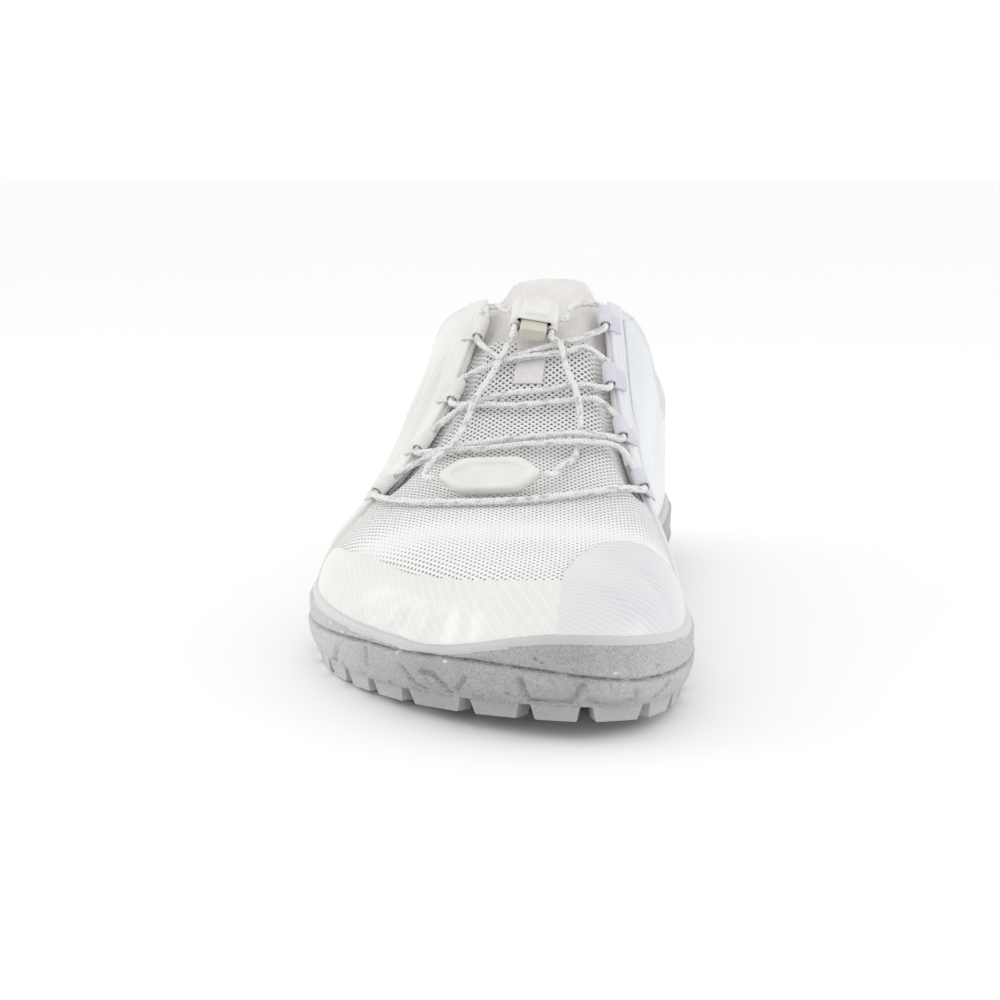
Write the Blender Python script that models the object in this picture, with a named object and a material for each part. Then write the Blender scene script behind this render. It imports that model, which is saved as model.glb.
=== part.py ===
# Right barefoot shoe: cup sole with lugs, mesh upper, film overlays, elastic lace with a cord lock.
# Metres. Across (X) is plus on the medial side, the toe points along -Y, the floor is Z = 0.

import math

import bmesh
import bpy
import numpy as np
from mathutils import Matrix, Vector

# Last
LAST_LENGTH = 0.279
BALL_WIDTH = 0.106
INSTEP_HEIGHT = 0.094
TOE_SPRING = 0.0055
ARCH_LIFT = 0.0012
SPRING_START = 0.72
ARCH_PLACE = 0.42
ARCH_REACH = 0.17
SPINE_HEEL = 0.14
SPINE_TOE = 0.80
SPINE_SOFT = 0.07
HEEL_END = 0.125
TOE_START = 0.88

# Walls, layers and clearances
GAP = 0.0003
UPPER_WALL = 0.0018
COLLAR_PAD = 0.0030
INSOLE_THICK = 0.0030
INSOLE_INSET = 0.0007
TONGUE_THICK = 0.0024
TONGUE_PAD = 0.0022
FILM_THICK = 0.0008
STRAP_WIDTH = 0.0096
STRAP_THICK = 0.0008

# Sole
LUG_HEIGHT = 0.0042
BASE_THICK = 0.0033
LUG_PITCH = 0.0150
LUG_SLOT = 0.0026
LUG_DEPTH = 0.0090
LUG_SINK = 0.0010
INNER_LUG_RADIUS = 0.0066
INNER_LUG_PITCH = 0.0200
RIM_THICK = 0.0018
RIM_BAND = 0.0025
GROOVE_HEIGHT = 0.0048
GROOVE_WIDTH = 0.0008
GROOVE_DEPTH = 0.0007

# Throat and collar
THROAT_ROUND = 0.050
THROAT_END = 0.665
EYESTAY_START = 0.345
QUARTER_START = 0.30
PANEL_SLANT = 0.03
PANEL_POINTS = 10
TONGUE_TOP = 0.285
TONGUE_MARGIN = 0.0080
TONGUE_REACH = 0.40
TONGUE_DROP = 0.0032
COLLAR_BAND = 0.0060
EYESTAY_MEDIAL = 0.0050
EYESTAY_LATERAL = 0.0068

# Lace, its loops, the cord lock and the end clip
LACE_RADIUS = 0.00105
LOOP_BORE = 0.00150
LOOP_WALL = 0.00075
LOOP_LENGTH = 0.0080
LOOP_TAIL = 0.0042
LOOP_LEVEL = 0.0026
LOOP_ARC_POINTS = 10
LOOP_BORE_SIDES = 8
LACE_STUB = 0.0016
LACE_SIDES = 6
LACE_POINT_REACH = 0.0092
LACE_POINT_BEND = math.radians(20)
LACE_POINT_LEAST = 0.0008
LOCK_WIDTH = 0.0155
LOCK_LENGTH = 0.0100
LOCK_HEIGHT = 0.0080
LOCK_PAD = 0.0085
LOCK_PAD_RISE = 0.0011
LOCK_WALL = 0.0012
BUTTON_OUT = 0.0040
BUTTON_TRAVEL = 0.0025
BUTTON_CLEARANCE = 0.00035
LOCK_CORNER = 0.0028
PAD_CORNER = 0.0020
POCKET_CORNER = 0.0001
BUTTON_CORNER = 0.0012
LACE_MOUTH = 0.42
TAIL_MOUTH = 0.45
TAIL_RADIUS = 0.0010
TAIL_STUB = 0.0026
TAIL_POINT_PITCH = 0.0056
TAIL_ROUNDNESS = 1
CLIP_LENGTH = 0.032
CLIP_WIDTH = 0.0125
CLIP_THICK = 0.0040
CLIP_PANEL = 0.0007

MEDIAL = 1
LATERAL = -1
SIDES = (MEDIAL, LATERAL)
SIDE_NAMES = {MEDIAL: "medial", LATERAL: "lateral"}
FOOT_FLOOR = LUG_HEIGHT + BASE_THICK
STACK_GAP = GAP + FILM_THICK + GAP

# Feather line of the last: share of the length, share of the ball width
OUTLINE = [
    (0.000, 0.000), (0.030, 0.190), (0.110, 0.318), (0.220, 0.338),
    (0.350, 0.318), (0.470, 0.330), (0.590, 0.398), (0.700, 0.455), (0.800, 0.490),
    (0.890, 0.480), (0.955, 0.430), (0.990, 0.350), (1.000, 0.260),
    (0.990, 0.110), (0.950, -0.095), (0.875, -0.305), (0.780, -0.475),
    (0.680, -0.558), (0.570, -0.535), (0.440, -0.460), (0.320, -0.395),
    (0.200, -0.350), (0.100, -0.305), (0.030, -0.190),
]

# Sections: share along, ridge height (of the instep height), ridge across (of the ball width),
# bluntness of the medial and of the lateral side
SECTIONS = [
    (0.00, 0.90, 0.00, 5.0, 5.0),
    (0.15, 1.00, 0.00, 6.0, 6.0),
    (0.30, 1.12, 0.01, 5.4, 5.4),
    (0.38, 1.00, 0.02, 4.4, 4.0),
    (0.48, 0.77, 0.04, 3.7, 3.1),
    (0.57, 0.63, 0.06, 3.4, 2.8),
    (0.66, 0.545, 0.09, 3.4, 2.9),
    (0.76, 0.485, 0.12, 3.5, 3.3),
    (0.88, 0.425, 0.15, 3.3, 3.0),
    (1.00, 0.38, 0.16, 2.9, 2.9),
]

# Collar edge: share along, height (of the instep height)
COLLAR = [
    (0.00, 0.83), (0.06, 0.80), (0.14, 0.67), (0.21, 0.65),
    (0.27, 0.76), (0.32, 0.95), (0.36, 1.12), (0.45, 1.30),
]

# Facing edge: share along, medial and lateral place across (of the ball width)
FACING = [
    (0.30, 0.165, -0.180),
    (0.36, 0.184, -0.197),
    (0.42, 0.210, -0.228),
    (0.48, 0.244, -0.272),
    (0.54, 0.286, -0.326),
    (0.60, 0.336, -0.388),
    (0.66, 0.395, -0.465),
    (0.72, 0.450, -0.560),
    (0.78, 0.505, -0.640),
]

# Sole rim: share along, height over the foot's floor (of the instep height), medial and lateral
RIM = [
    (0.00, 0.200, 0.200), (0.10, 0.185, 0.185), (0.25, 0.150, 0.150), (0.42, 0.140, 0.140),
    (0.58, 0.145, 0.150), (0.70, 0.145, 0.152), (0.80, 0.145, 0.136), (0.90, 0.148, 0.116),
    (0.950, 0.156, 0.108), (0.975, 0.160, 0.128), (1.00, 0.166, 0.166),
]

# Sole side below the rim band: share of the height from the sole's edge up to the groove, bulge
LOWER_SIDE = [(0.00, 0.0002), (0.30, 0.0018), (0.80, 0.0031)]

# Places along the facing of the four pairs of lace loops
LOOP_PLACES = {MEDIAL: (0.380, 0.446, 0.516, 0.602), LATERAL: (0.396, 0.468, 0.541, 0.616)}


def smooth_column(table, column, at):
    """Read one column of a table as a smooth curve through its rows."""
    rows = np.array(table, float)
    places, values = rows[:, 0], rows[:, column]
    slope = np.gradient(values, places)
    at = np.clip(np.asarray(at, float), places[0], places[-1])
    k = np.clip(np.searchsorted(places, at, side="right") - 1, 0, len(places) - 2)
    step = places[k + 1] - places[k]
    u = (at - places[k]) / step
    low = (2 * u**3 - 3 * u**2 + 1) * values[k] + (u**3 - 2 * u**2 + u) * step * slope[k]
    high = (3 * u**2 - 2 * u**3) * values[k + 1] + (u**3 - u**2) * step * slope[k + 1]
    return low + high


def smooth_span(a, b, c, d, count):
    """Points of a centripetal curve from b to c, with a and d as its neighbours."""
    t1 = max(np.linalg.norm(b - a), 1e-9) ** 0.5
    t2 = t1 + max(np.linalg.norm(c - b), 1e-9) ** 0.5
    t3 = t2 + max(np.linalg.norm(d - c), 1e-9) ** 0.5
    points = []
    for k in range(count):
        t = t1 + (t2 - t1) * k / count
        ab = a + (b - a) * t / t1
        bc = b + (c - b) * (t - t1) / (t2 - t1)
        cd = c + (d - c) * (t - t2) / (t3 - t2)
        abc = ab + (bc - ab) * t / t2
        bcd = bc + (cd - bc) * (t - t1) / (t3 - t1)
        points.append(abc + (bcd - abc) * (t - t1) / (t2 - t1))
    return points


def closed_curve(points, per_span=24):
    """Closed smooth curve through the points."""
    p = [np.array(point, float) for point in points]
    curve = []
    for i in range(len(p)):
        curve += smooth_span(p[i - 1], p[i], p[(i + 1) % len(p)], p[(i + 2) % len(p)], per_span)
    return np.array(curve)


def open_curve(points, per_span=8):
    """Open smooth curve through the points, both ends included."""
    p = [np.array(point, float) for point in points]
    p = [2 * p[0] - p[1]] + p + [2 * p[-1] - p[-2]]
    curve = []
    for i in range(1, len(p) - 2):
        curve += smooth_span(p[i - 1], p[i], p[i + 1], p[i + 2], per_span)
    curve.append(p[-2])
    return np.array(curve)


def outline_sides():
    """Medial and lateral halves of the feather line, from the heel tip to the toe tip."""
    loop = closed_curve([(across * BALL_WIDTH, along) for along, across in OUTLINE])
    low, high = loop[:, 1].min(), loop[:, 1].max()
    loop[:, 1] = (loop[:, 1] - low) / (high - low)
    loop = np.roll(loop, -int(np.argmin(loop[:, 1])), axis=0)
    toe = int(np.argmax(loop[:, 1]))
    return {MEDIAL: loop[:toe + 1], LATERAL: np.vstack([loop[toe:], loop[:1]])[::-1]}


FEATHER = outline_sides()


def edge_x(along, side):
    return np.interp(along, FEATHER[side][:, 1], FEATHER[side][:, 0])


def ridge_x(along):
    return smooth_column(SECTIONS, 2, along) * BALL_WIDTH


def ridge_z(along):
    return smooth_column(SECTIONS, 1, along) * INSTEP_HEIGHT


def bluntness(along, side):
    return smooth_column(SECTIONS, 3 if side == MEDIAL else 4, along)


def tread_z(along):
    """Underside of the lugs: flat, with the toe spring and the arch."""
    along = np.asarray(along, float)
    rise = np.clip((along - SPRING_START) / (1 - SPRING_START), 0, None)
    arch = np.clip(1 - ((along - ARCH_PLACE) / ARCH_REACH) ** 2, 0, None)
    return TOE_SPRING * rise**2 + ARCH_LIFT * arch**2


def floor_z(along):
    """Top of the sole, on which the foot's floor lies."""
    return tread_z(along) + FOOT_FLOOR


def spine(along):
    """Where the ray that starts at a share along the feather line meets the ridge."""
    along = np.asarray(along, float)
    front = SPINE_SOFT * (1 - np.exp(-np.clip(along - SPINE_TOE, 0, None) / SPINE_SOFT))
    back = SPINE_SOFT * (1 - np.exp(-np.clip(SPINE_HEEL - along, 0, None) / SPINE_SOFT))
    return np.clip(along, SPINE_HEEL, SPINE_TOE) + front - back


def skin(along, side, turn):
    """Outer skin of the upper: turn is 0 at the feather line and a right angle at the ridge."""
    blunt = bluntness(along, side)
    out = max(math.cos(turn), 0.0) ** (2 / blunt)
    up = math.sin(turn) ** (2 / blunt)
    place = spine(along) + (along - spine(along)) * out
    x = ridge_x(along) + (edge_x(along, side) - ridge_x(along)) * out
    z = floor_z(place) + (ridge_z(place) - floor_z(place)) * up
    return np.array([float(x), float(place) * LAST_LENGTH, float(z)])


def turn_at_height(along, side, height):
    """Turn at which the skin is this high over the foot's floor, found by halving."""
    low, high = 0.0, math.pi / 2
    for _ in range(30):
        middle = (low + high) / 2
        point = skin(along, side, middle)
        if point[2] - floor_z(point[1] / LAST_LENGTH) < height:
            low = middle
        else:
            high = middle
    return low


def turn_at_x(along, side, x):
    """Turn at which the skin is this far across."""
    share = np.clip((x - ridge_x(along)) / (edge_x(along, side) - ridge_x(along)), 0, 1)
    return float(np.arccos(share ** (bluntness(along, side) / 2)))


def crown(x, along, blunt_limit=None):
    """Height of the skin over a place in plan, between the heel and toe ends of the ridge."""
    side = MEDIAL if x > ridge_x(along) else LATERAL
    blunt = bluntness(along, side)
    if blunt_limit is not None:
        blunt = min(blunt, blunt_limit)
    share = min(abs((x - ridge_x(along)) / (edge_x(along, side) - ridge_x(along))), 1.0)
    return floor_z(along) + (ridge_z(along) - floor_z(along)) * (1 - share**blunt) ** (1 / blunt)


def over_crown(x, along, level, blunt_limit=None):
    """Point at a level over the skin, measured square to it."""
    step = 0.0005
    ahead = step / LAST_LENGTH
    slope_x = (crown(x + step, along, blunt_limit) - crown(x - step, along, blunt_limit)) / (2 * step)
    rise_y = crown(x, along + ahead, blunt_limit) - crown(x, along - ahead, blunt_limit)
    normal = np.array([-slope_x, -rise_y / (2 * step), 1.0])
    normal /= np.linalg.norm(normal)
    point = np.array([x, along * LAST_LENGTH, crown(x, along, blunt_limit)])
    return point + normal * level, normal


def facing_x(along, side):
    return float(smooth_column(FACING, 1 if side == MEDIAL else 2, along) * BALL_WIDTH)


def throat_x(along, side):
    """Edge of the throat: the facing, closed by a round end at the vamp."""
    start = THROAT_END - THROAT_ROUND
    if along <= start:
        return facing_x(along, side)
    if along >= THROAT_END:
        return float(ridge_x(THROAT_END))
    turn = math.asin((along - start) / THROAT_ROUND)
    middle = float(ridge_x(THROAT_END))
    return middle + (facing_x(along, side) - middle) * math.cos(turn)


def top_turn(along, side):
    """Where the upper ends: at the collar, at the throat, or at the ridge of the vamp."""
    if along >= THROAT_END:
        return math.pi / 2
    collar = smooth_column(COLLAR, 1, along) * INSTEP_HEIGHT - floor_z(along)
    by_collar = turn_at_height(along, side, collar)
    if along < FACING[0][0]:
        return by_collar
    return min(by_collar, turn_at_x(along, side, throat_x(along, side)))


def rim_height(along, side):
    return float(smooth_column(RIM, 1 if side == MEDIAL else 2, along) * INSTEP_HEIGHT)


def spread(start, end, count):
    return [start + (end - start) * k / count for k in range(count)]


def stations():
    """Shares along the last of the rays, closer together at the heel, throat end and toe."""
    heel = [HEEL_END * (1 - math.cos(math.radians(18 * k))) for k in range(5)]
    middle = spread(HEEL_END, THROAT_END - THROAT_ROUND, 13)
    throat = [THROAT_END - THROAT_ROUND * (1 - math.sin(math.radians(22.5 * k))) for k in range(4)]
    vamp = spread(THROAT_END, TOE_START, 5)
    toe = [TOE_START + (1 - TOE_START) * math.sin(math.radians(15 * k)) for k in range(7)]
    return heel + middle + throat + vamp + toe


SHARES = stations()
LAST_STATION = len(SHARES) - 1
RING = [(k, MEDIAL) for k in range(LAST_STATION + 1)]
RING += [(k, LATERAL) for k in range(LAST_STATION - 1, 0, -1)]
SIDE_ROWS = 2
UPPER_ROWS = 7


def ray_turns(along, side):
    """Turns of one ray: feather line, half rim, rim, then equal steps to the top."""
    rim = rim_height(along, side) + GAP
    turns = [0.0, turn_at_height(along, side, rim / 2), turn_at_height(along, side, rim)]
    top = top_turn(along, side)
    steps = UPPER_ROWS - SIDE_ROWS
    turns += [turns[-1] + (top - turns[-1]) * k / steps for k in range(1, steps + 1)]
    return turns


class Skin:
    """The upper's outer skin as one faceted surface that every layer on it shares."""

    def __init__(self):
        self.points = []
        self.row_of = []
        self.share_of = []
        self.index = np.zeros((UPPER_ROWS + 1, len(RING)), int)
        for ring_place, (station, side) in enumerate(RING):
            along = SHARES[station]
            for row, turn in enumerate(ray_turns(along, side)):
                welded = row == UPPER_ROWS and side == LATERAL and along >= THROAT_END
                if welded:
                    self.index[row, ring_place] = self.index[row, RING.index((station, MEDIAL))]
                    continue
                self.index[row, ring_place] = len(self.points)
                self.points.append(skin(along, side, turn))
                self.row_of.append(row)
                self.share_of.append(along)
        self.points = np.array(self.points)
        self.normals = self.vertex_normals()

    def faces(self, first_row, last_row):
        triangles = []
        for row in range(first_row, last_row):
            for k in range(len(RING)):
                ahead = (k + 1) % len(RING)
                corners = [self.index[row, k], self.index[row, ahead],
                           self.index[row + 1, ahead], self.index[row + 1, k]]
                unique = list(dict.fromkeys(int(corner) for corner in corners))
                if len(unique) > 2:
                    triangles += self.split(unique, unique)
        return triangles

    def split(self, corners, like):
        """Triangles of a face, along the shorter diagonal of a face of the skin."""
        if len(corners) == 3:
            return [corners]
        a, b, c, d = corners
        p, q, r, s = self.points[like]
        if np.linalg.norm(p - r) <= np.linalg.norm(q - s):
            return [[a, b, c], [a, c, d]]
        return [[a, b, d], [b, c, d]]

    def vertex_normals(self):
        normals = np.zeros_like(self.points)
        for face in self.faces(0, UPPER_ROWS):
            p = self.points[face]
            area = np.zeros(3)
            for k in range(1, len(face) - 1):
                area += np.cross(p[k] - p[0], p[k + 1] - p[0])
            normals[face] += area
        normals[np.array(self.row_of) == 0, 2] = 0.0
        return normals / np.linalg.norm(normals, axis=1)[:, None]


SKIN = Skin()


def to_world(point):
    """From the heel tip's frame to the model's: the toe points along -Y."""
    return (float(point[0]), float(LAST_LENGTH / 2 - point[1]), float(point[2]))


def material(name, colour, roughness):
    made = bpy.data.materials.new(name)
    made.use_nodes = True
    shader = made.node_tree.nodes["Principled BSDF"]
    shader.inputs["Base Color"].default_value = (*colour, 1.0)
    shader.inputs["Roughness"].default_value = roughness
    shader.inputs["Metallic"].default_value = 0.0
    return made


def mesh_object(name, points, faces, look, smooth=True):
    """One object from points in the heel tip's frame, with its faces turned outward."""
    mesh = bpy.data.meshes.new(name)
    mesh.from_pydata([to_world(point) for point in points], [], [list(face) for face in faces])
    work = bmesh.new()
    work.from_mesh(mesh)
    bmesh.ops.recalc_face_normals(work, faces=work.faces)
    work.to_mesh(mesh)
    work.free()
    if smooth:
        mesh.shade_smooth()
        mesh.set_sharp_from_angle(angle=math.radians(40))
    made = bpy.data.objects.new(name, mesh)
    if look is not None:
        mesh.materials.append(look)
    made.parent = bpy.data.objects.get("shoe")
    bpy.context.collection.objects.link(made)
    return made


def layer(name, low, high, faces, look):
    """Closed solid between two sets of points that share the faces of an open surface."""
    used = sorted({corner for face in faces for corner in face})
    place = {corner: k for k, corner in enumerate(used)}
    count = len(used)
    points = [high[corner] for corner in used] + [low[corner] for corner in used]
    outer = [[place[corner] for corner in face] for face in faces]
    solid = outer + [[corner + count for corner in reversed(face)] for face in outer]
    edges = {}
    for face in outer:
        for k, corner in enumerate(face):
            edges[(corner, face[(k + 1) % len(face)])] = True
    for a, b in edges:
        if (b, a) not in edges:
            solid.append([b, a, a + count, b + count])
    return mesh_object(name, points, solid, look)


def helper(made):
    """Keep a cutter out of the model and out of the view."""
    made.hide_render = True
    made.display_type = "WIRE"
    return made


def prism(name, outline, low, high, axis):
    """Cutter with its outline in plan (axis 2) or in side view (axis 0)."""
    def corner(point, level):
        a, b = point
        return (a, b, level) if axis == 2 else (level, a, b)

    count = len(outline)
    points = [corner(p, low) for p in outline] + [corner(p, high) for p in outline]
    faces = [list(range(count)), list(range(2 * count - 1, count - 1, -1))]
    for k in range(count):
        ahead = (k + 1) % count
        faces.append([k, ahead, ahead + count, k + count])
    return helper(mesh_object(name, points, faces, None, smooth=False))


def cut(made, operation, tool):
    step = made.modifiers.new(operation.lower() + "_" + tool.name, "BOOLEAN")
    step.operation = operation
    step.solver = "EXACT"
    step.object = tool


def plan_ring(row):
    return SKIN.points[SKIN.index[row]]


def plan_normals():
    """Outward directions in plan around the feather line."""
    loop = plan_ring(0)[:, :2]
    ahead = np.roll(loop, -1, axis=0) - np.roll(loop, 1, axis=0)
    normals = np.c_[ahead[:, 1], -ahead[:, 0]]
    return normals / np.linalg.norm(normals, axis=1)[:, None]


def sole_side_rows():
    """Levels over the foot's floor and bulges of the sole's side, from the edge up to the rim."""
    rows = []
    for share, bulge in LOWER_SIDE:
        rows.append((lambda rim, s=share: -BASE_THICK + (GROOVE_HEIGHT + BASE_THICK) * s, bulge))
    groove = LOWER_SIDE[-1][1]
    half = GROOVE_WIDTH / 2
    rows.append((lambda rim: GROOVE_HEIGHT - half, groove))
    rows.append((lambda rim: GROOVE_HEIGHT, groove - GROOVE_DEPTH))
    rows.append((lambda rim: GROOVE_HEIGHT + half, groove + GROOVE_DEPTH / 4))
    rows.append((lambda rim: rim - RIM_BAND, groove))
    rows.append((lambda rim: rim - RIM_BAND + half, groove - GROOVE_DEPTH))
    rows.append((lambda rim: rim - half, GAP + RIM_THICK + half))
    rows.append((lambda rim: rim, GAP + RIM_THICK))
    return rows


def side_point(ring_place, level, bulge):
    """Point of the sole's side, which leans with the upper that it holds."""
    station, side = RING[ring_place]
    rim = rim_height(SHARES[station], side)
    foot = SKIN.points[SKIN.index[0, ring_place]]
    top = SKIN.points[SKIN.index[SIDE_ROWS, ring_place]]
    lean = min(max(level / rim, 0.0), 1.0)
    place = foot[:2] + (top[:2] - foot[:2]) * lean + PLAN_NORMALS[ring_place] * bulge
    rise = (top[2] - GAP - foot[2]) / rim if level > 0 else 1.0
    return np.array([place[0], place[1], foot[2] + level * rise])


PLAN_NORMALS = plan_normals()


def cross_strips(first):
    """Faces that close a ring of points across the shoe, station by station."""
    count = len(RING)
    faces = []
    for k in range(LAST_STATION):
        corners = [k, k + 1, (count - k - 1) % count, (count - k) % count]
        faces.append([first + corner for corner in dict.fromkeys(corners)])
    return faces


def rim_inner_ring(heights):
    """Inner corner of the rim: square off the upper, then down along it to the rim's height."""
    top = SKIN.points[SKIN.index[SIDE_ROWS]]
    down = SKIN.points[SKIN.index[SIDE_ROWS - 1]] - top
    ring = top + SKIN.normals[SKIN.index[SIDE_ROWS]] * GAP
    return ring + down * ((heights - ring[:, 2]) / down[:, 2])[:, None]


def outsole_base(look):
    """Cup sole without lugs: sides with rim band and parting groove, floor and underside."""
    count = len(RING)
    rings = []
    for level, bulge in sole_side_rows():
        ring = []
        for k, (station, side) in enumerate(RING):
            ring.append(side_point(k, level(rim_height(SHARES[station], side)), bulge))
        rings.append(np.array(ring))
    rings.append(rim_inner_ring(rings[-1][:, 2]))
    for row in range(SIDE_ROWS - 1, -1, -1):
        index = SKIN.index[row]
        rings.append(SKIN.points[index] + SKIN.normals[index] * GAP)
    points = np.vstack(rings)
    faces = []
    inner_wall = len(rings) - 1 - SIDE_ROWS
    for row in range(len(rings) - 1):
        for k in range(count):
            ahead = (k + 1) % count
            low, high = row * count, (row + 1) * count
            if row < inner_wall:
                faces.append([low + k, low + ahead, high + ahead, high + k])
                continue
            skin_row = len(rings) - 2 - row
            like = [SKIN.index[skin_row, k], SKIN.index[skin_row, ahead],
                    SKIN.index[skin_row + 1, ahead], SKIN.index[skin_row + 1, k]]
            faces += SKIN.split([high + k, high + ahead, low + ahead, low + k], like)
    faces += cross_strips(0)
    faces += cross_strips((len(rings) - 1) * count)
    return mesh_object("outsole", points, faces, look)


def edge_loop(bulge):
    """Closed plan curve around the sole's edge, closely spaced."""
    loop = closed_curve([side_point(k, -BASE_THICK, bulge)[:2] for k in range(len(RING))], 6)
    loop = np.vstack([loop, loop[:1]])
    return loop, np.r_[0, np.cumsum(np.linalg.norm(np.diff(loop, axis=0), axis=1))]


def lug_block(plan_top, plan_foot):
    """One lug from its plan outlines at the root and at the tread."""
    points = []
    for x, y in plan_foot:
        points.append((x, y, float(tread_z(min(y / LAST_LENGTH, 1.0)))))
    for x, y in plan_top:
        points.append((x, y, float(tread_z(min(y / LAST_LENGTH, 1.0))) + LUG_HEIGHT + LUG_SINK))
    count = len(plan_foot)
    faces = [list(range(count)), list(range(2 * count - 1, count - 1, -1))]
    for k in range(count):
        ahead = (k + 1) % count
        faces.append([k, ahead, ahead + count, k + count])
    return points, faces


def edge_lugs():
    """Blocks around the sole's edge, one to a pitch."""
    loop, lengths = edge_loop(0.0002)
    normals = np.gradient(loop, axis=0)
    normals = np.c_[normals[:, 1], -normals[:, 0]]
    normals /= np.linalg.norm(normals, axis=1)[:, None]
    count = round(lengths[-1] / LUG_PITCH)
    pitch = lengths[-1] / count
    blocks = []
    for k in range(count):
        ends = (k * pitch + LUG_SLOT / 2, (k + 1) * pitch - LUG_SLOT / 2)
        place = [np.array([np.interp(s, lengths, loop[:, a]) for a in (0, 1)]) for s in ends]
        facing = [np.array([np.interp(s, lengths, normals[:, a]) for a in (0, 1)]) for s in ends]
        deep = LUG_DEPTH * (1.0 if k % 2 else 0.72)
        top = [place[0] + facing[0] * LUG_SINK / 2, place[1] + facing[1] * LUG_SINK / 2,
               place[1] - facing[1] * deep, place[0] - facing[0] * deep]
        foot = [place[0] - facing[0] * LUG_SINK, place[1] - facing[1] * LUG_SINK,
                place[1] - facing[1] * deep, place[0] - facing[0] * deep]
        blocks.append(lug_block(top, foot))
    return blocks


def inner_lugs():
    """Six-sided lugs in staggered rows inside the ring of edge lugs."""
    keep_in = LUG_DEPTH + INNER_LUG_RADIUS + LUG_SLOT
    blocks = []
    rows = int(LAST_LENGTH / INNER_LUG_PITCH)
    for row in range(1, rows):
        y = row * INNER_LUG_PITCH + INNER_LUG_PITCH / 4
        along = y / LAST_LENGTH
        low = edge_x(along, LATERAL) + keep_in
        high = edge_x(along, MEDIAL) - keep_in
        ends = min(y, LAST_LENGTH - y)
        if high < low or ends < keep_in:
            continue
        count = int((high - low) / INNER_LUG_PITCH) + 1
        first = (low + high) / 2 - (count - 1) * INNER_LUG_PITCH / 2
        for k in range(count):
            centre = np.array([first + k * INNER_LUG_PITCH, y])
            turns = [math.radians(60 * corner + 30) for corner in range(6)]
            foot = [centre + INNER_LUG_RADIUS * np.array([math.cos(t), math.sin(t)]) for t in turns]
            blocks.append(lug_block(foot, foot))
    return blocks


def make_outsole(look):
    base = outsole_base(look)
    points, faces = [], []
    for block_points, block_faces in edge_lugs() + inner_lugs():
        faces += [[corner + len(points) for corner in face] for face in block_faces]
        points += block_points
    lugs = helper(mesh_object("lug_tool", points, faces, None, smooth=False))
    cut(base, "UNION", lugs)
    return base


def make_upper(look):
    """Hollow upper: open at collar and throat, and underneath."""
    row = np.array(SKIN.row_of)
    share = np.array(SKIN.share_of)
    near_edge = (row - SIDE_ROWS) / (UPPER_ROWS - SIDE_ROWS)
    padded = np.clip((THROAT_END / 2 - share) / 0.05, 0, 1) * np.clip(2 * near_edge - 1, 0, 1)
    wall = UPPER_WALL + COLLAR_PAD * padded
    outer = SKIN.points.copy()
    inner = outer - SKIN.normals * wall[:, None]
    inner[row == 0, 2] = outer[row == 0, 2]
    outer[row == 0, 2] += GAP
    inner[row == 0, 2] += GAP
    return layer("upper", inner, outer, SKIN.faces(0, UPPER_ROWS), look)


def make_insole(look):
    """Thin footbed that fills the floor inside the upper's wall."""
    index = SKIN.index[0]
    ring = SKIN.points[index] - SKIN.normals[index] * (UPPER_WALL + INSOLE_INSET)
    low = ring + np.array([0, 0, GAP])
    high = low + np.array([0, 0, INSOLE_THICK])
    return layer("insole", low, high, cross_strips(0), look)


def throat_edge_point(along, side, inset):
    """Point of the throat's edge in plan, moved into the throat."""
    step = 0.004
    behind = np.array([throat_x(along - step, side), (along - step) * LAST_LENGTH])
    place = np.array([throat_x(along, side), along * LAST_LENGTH])
    run = place - behind
    inward = np.array([-run[1], run[0]]) * side / np.linalg.norm(run)
    return place + inward * inset


def tongue_edge(along, side):
    """Edge of the tongue: under the facing, then butted to the round end of the throat."""
    start = THROAT_END - THROAT_ROUND
    if along >= THROAT_END:
        return np.array([throat_x(along, side), along * LAST_LENGTH - GAP])
    if along > start - 0.001:
        return throat_edge_point(along, side, GAP)
    under = min(max((start - 0.03 - along) / 0.05, 0.0), 1.0)
    reach = TONGUE_REACH * abs(edge_x(along, side) - facing_x(along, side))
    margin = min(TONGUE_MARGIN, reach) * under - GAP * (1 - under)
    return np.array([facing_x(along, side) + side * margin, along * LAST_LENGTH])


def tongue_level(along, x, side):
    """Level of the tongue over the skin: dropped beside and under the facings."""
    inside = (facing_x(along, side) - x) * side
    rise = min(max((inside - 0.0010) / 0.0065, 0.0), 1.0)
    rise = rise * rise * (3 - 2 * rise)
    end = min(max((along - THROAT_END + THROAT_ROUND) / (0.6 * THROAT_ROUND), 0.0), 1.0)
    return -TONGUE_DROP * (1 - rise) * (1 - end)


TONGUE_COLUMNS = (-1.0, -0.86, -0.70, -0.52, -0.26, 0.0, 0.26, 0.52, 0.70, 0.86, 1.0)


def tongue_blunt(along):
    """The tongue's top is rounder across than the collar around it."""
    return 2.7 + 1.0 * min(max((along - TONGUE_TOP) / 0.16, 0.0), 1.0)


def tongue_rows():
    top = [TONGUE_TOP + 0.028 * k for k in range(3)]
    return top + [share for share in SHARES if 0.355 < share < THROAT_END + 0.001]


def tongue_point(along, column, level):
    """Point over the tongue's face at a share of its width."""
    side = MEDIAL if column > 0 else LATERAL
    left, right = tongue_edge(along, LATERAL), tongue_edge(along, MEDIAL)
    middle = np.array([ridge_x(along), (left[1] + right[1]) / 2])
    edge = right if side == MEDIAL else left
    place = middle + (edge - middle) * abs(column)
    at = place[1] / LAST_LENGTH
    round_top = max(0.0, 1 - (along - TONGUE_TOP) / 0.03)
    at += 0.034 * round_top * abs(column) ** 2.4
    drop = tongue_level(at, place[0], side)
    point, _ = over_crown(place[0], at, drop + level, tongue_blunt(at))
    return point


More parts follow.
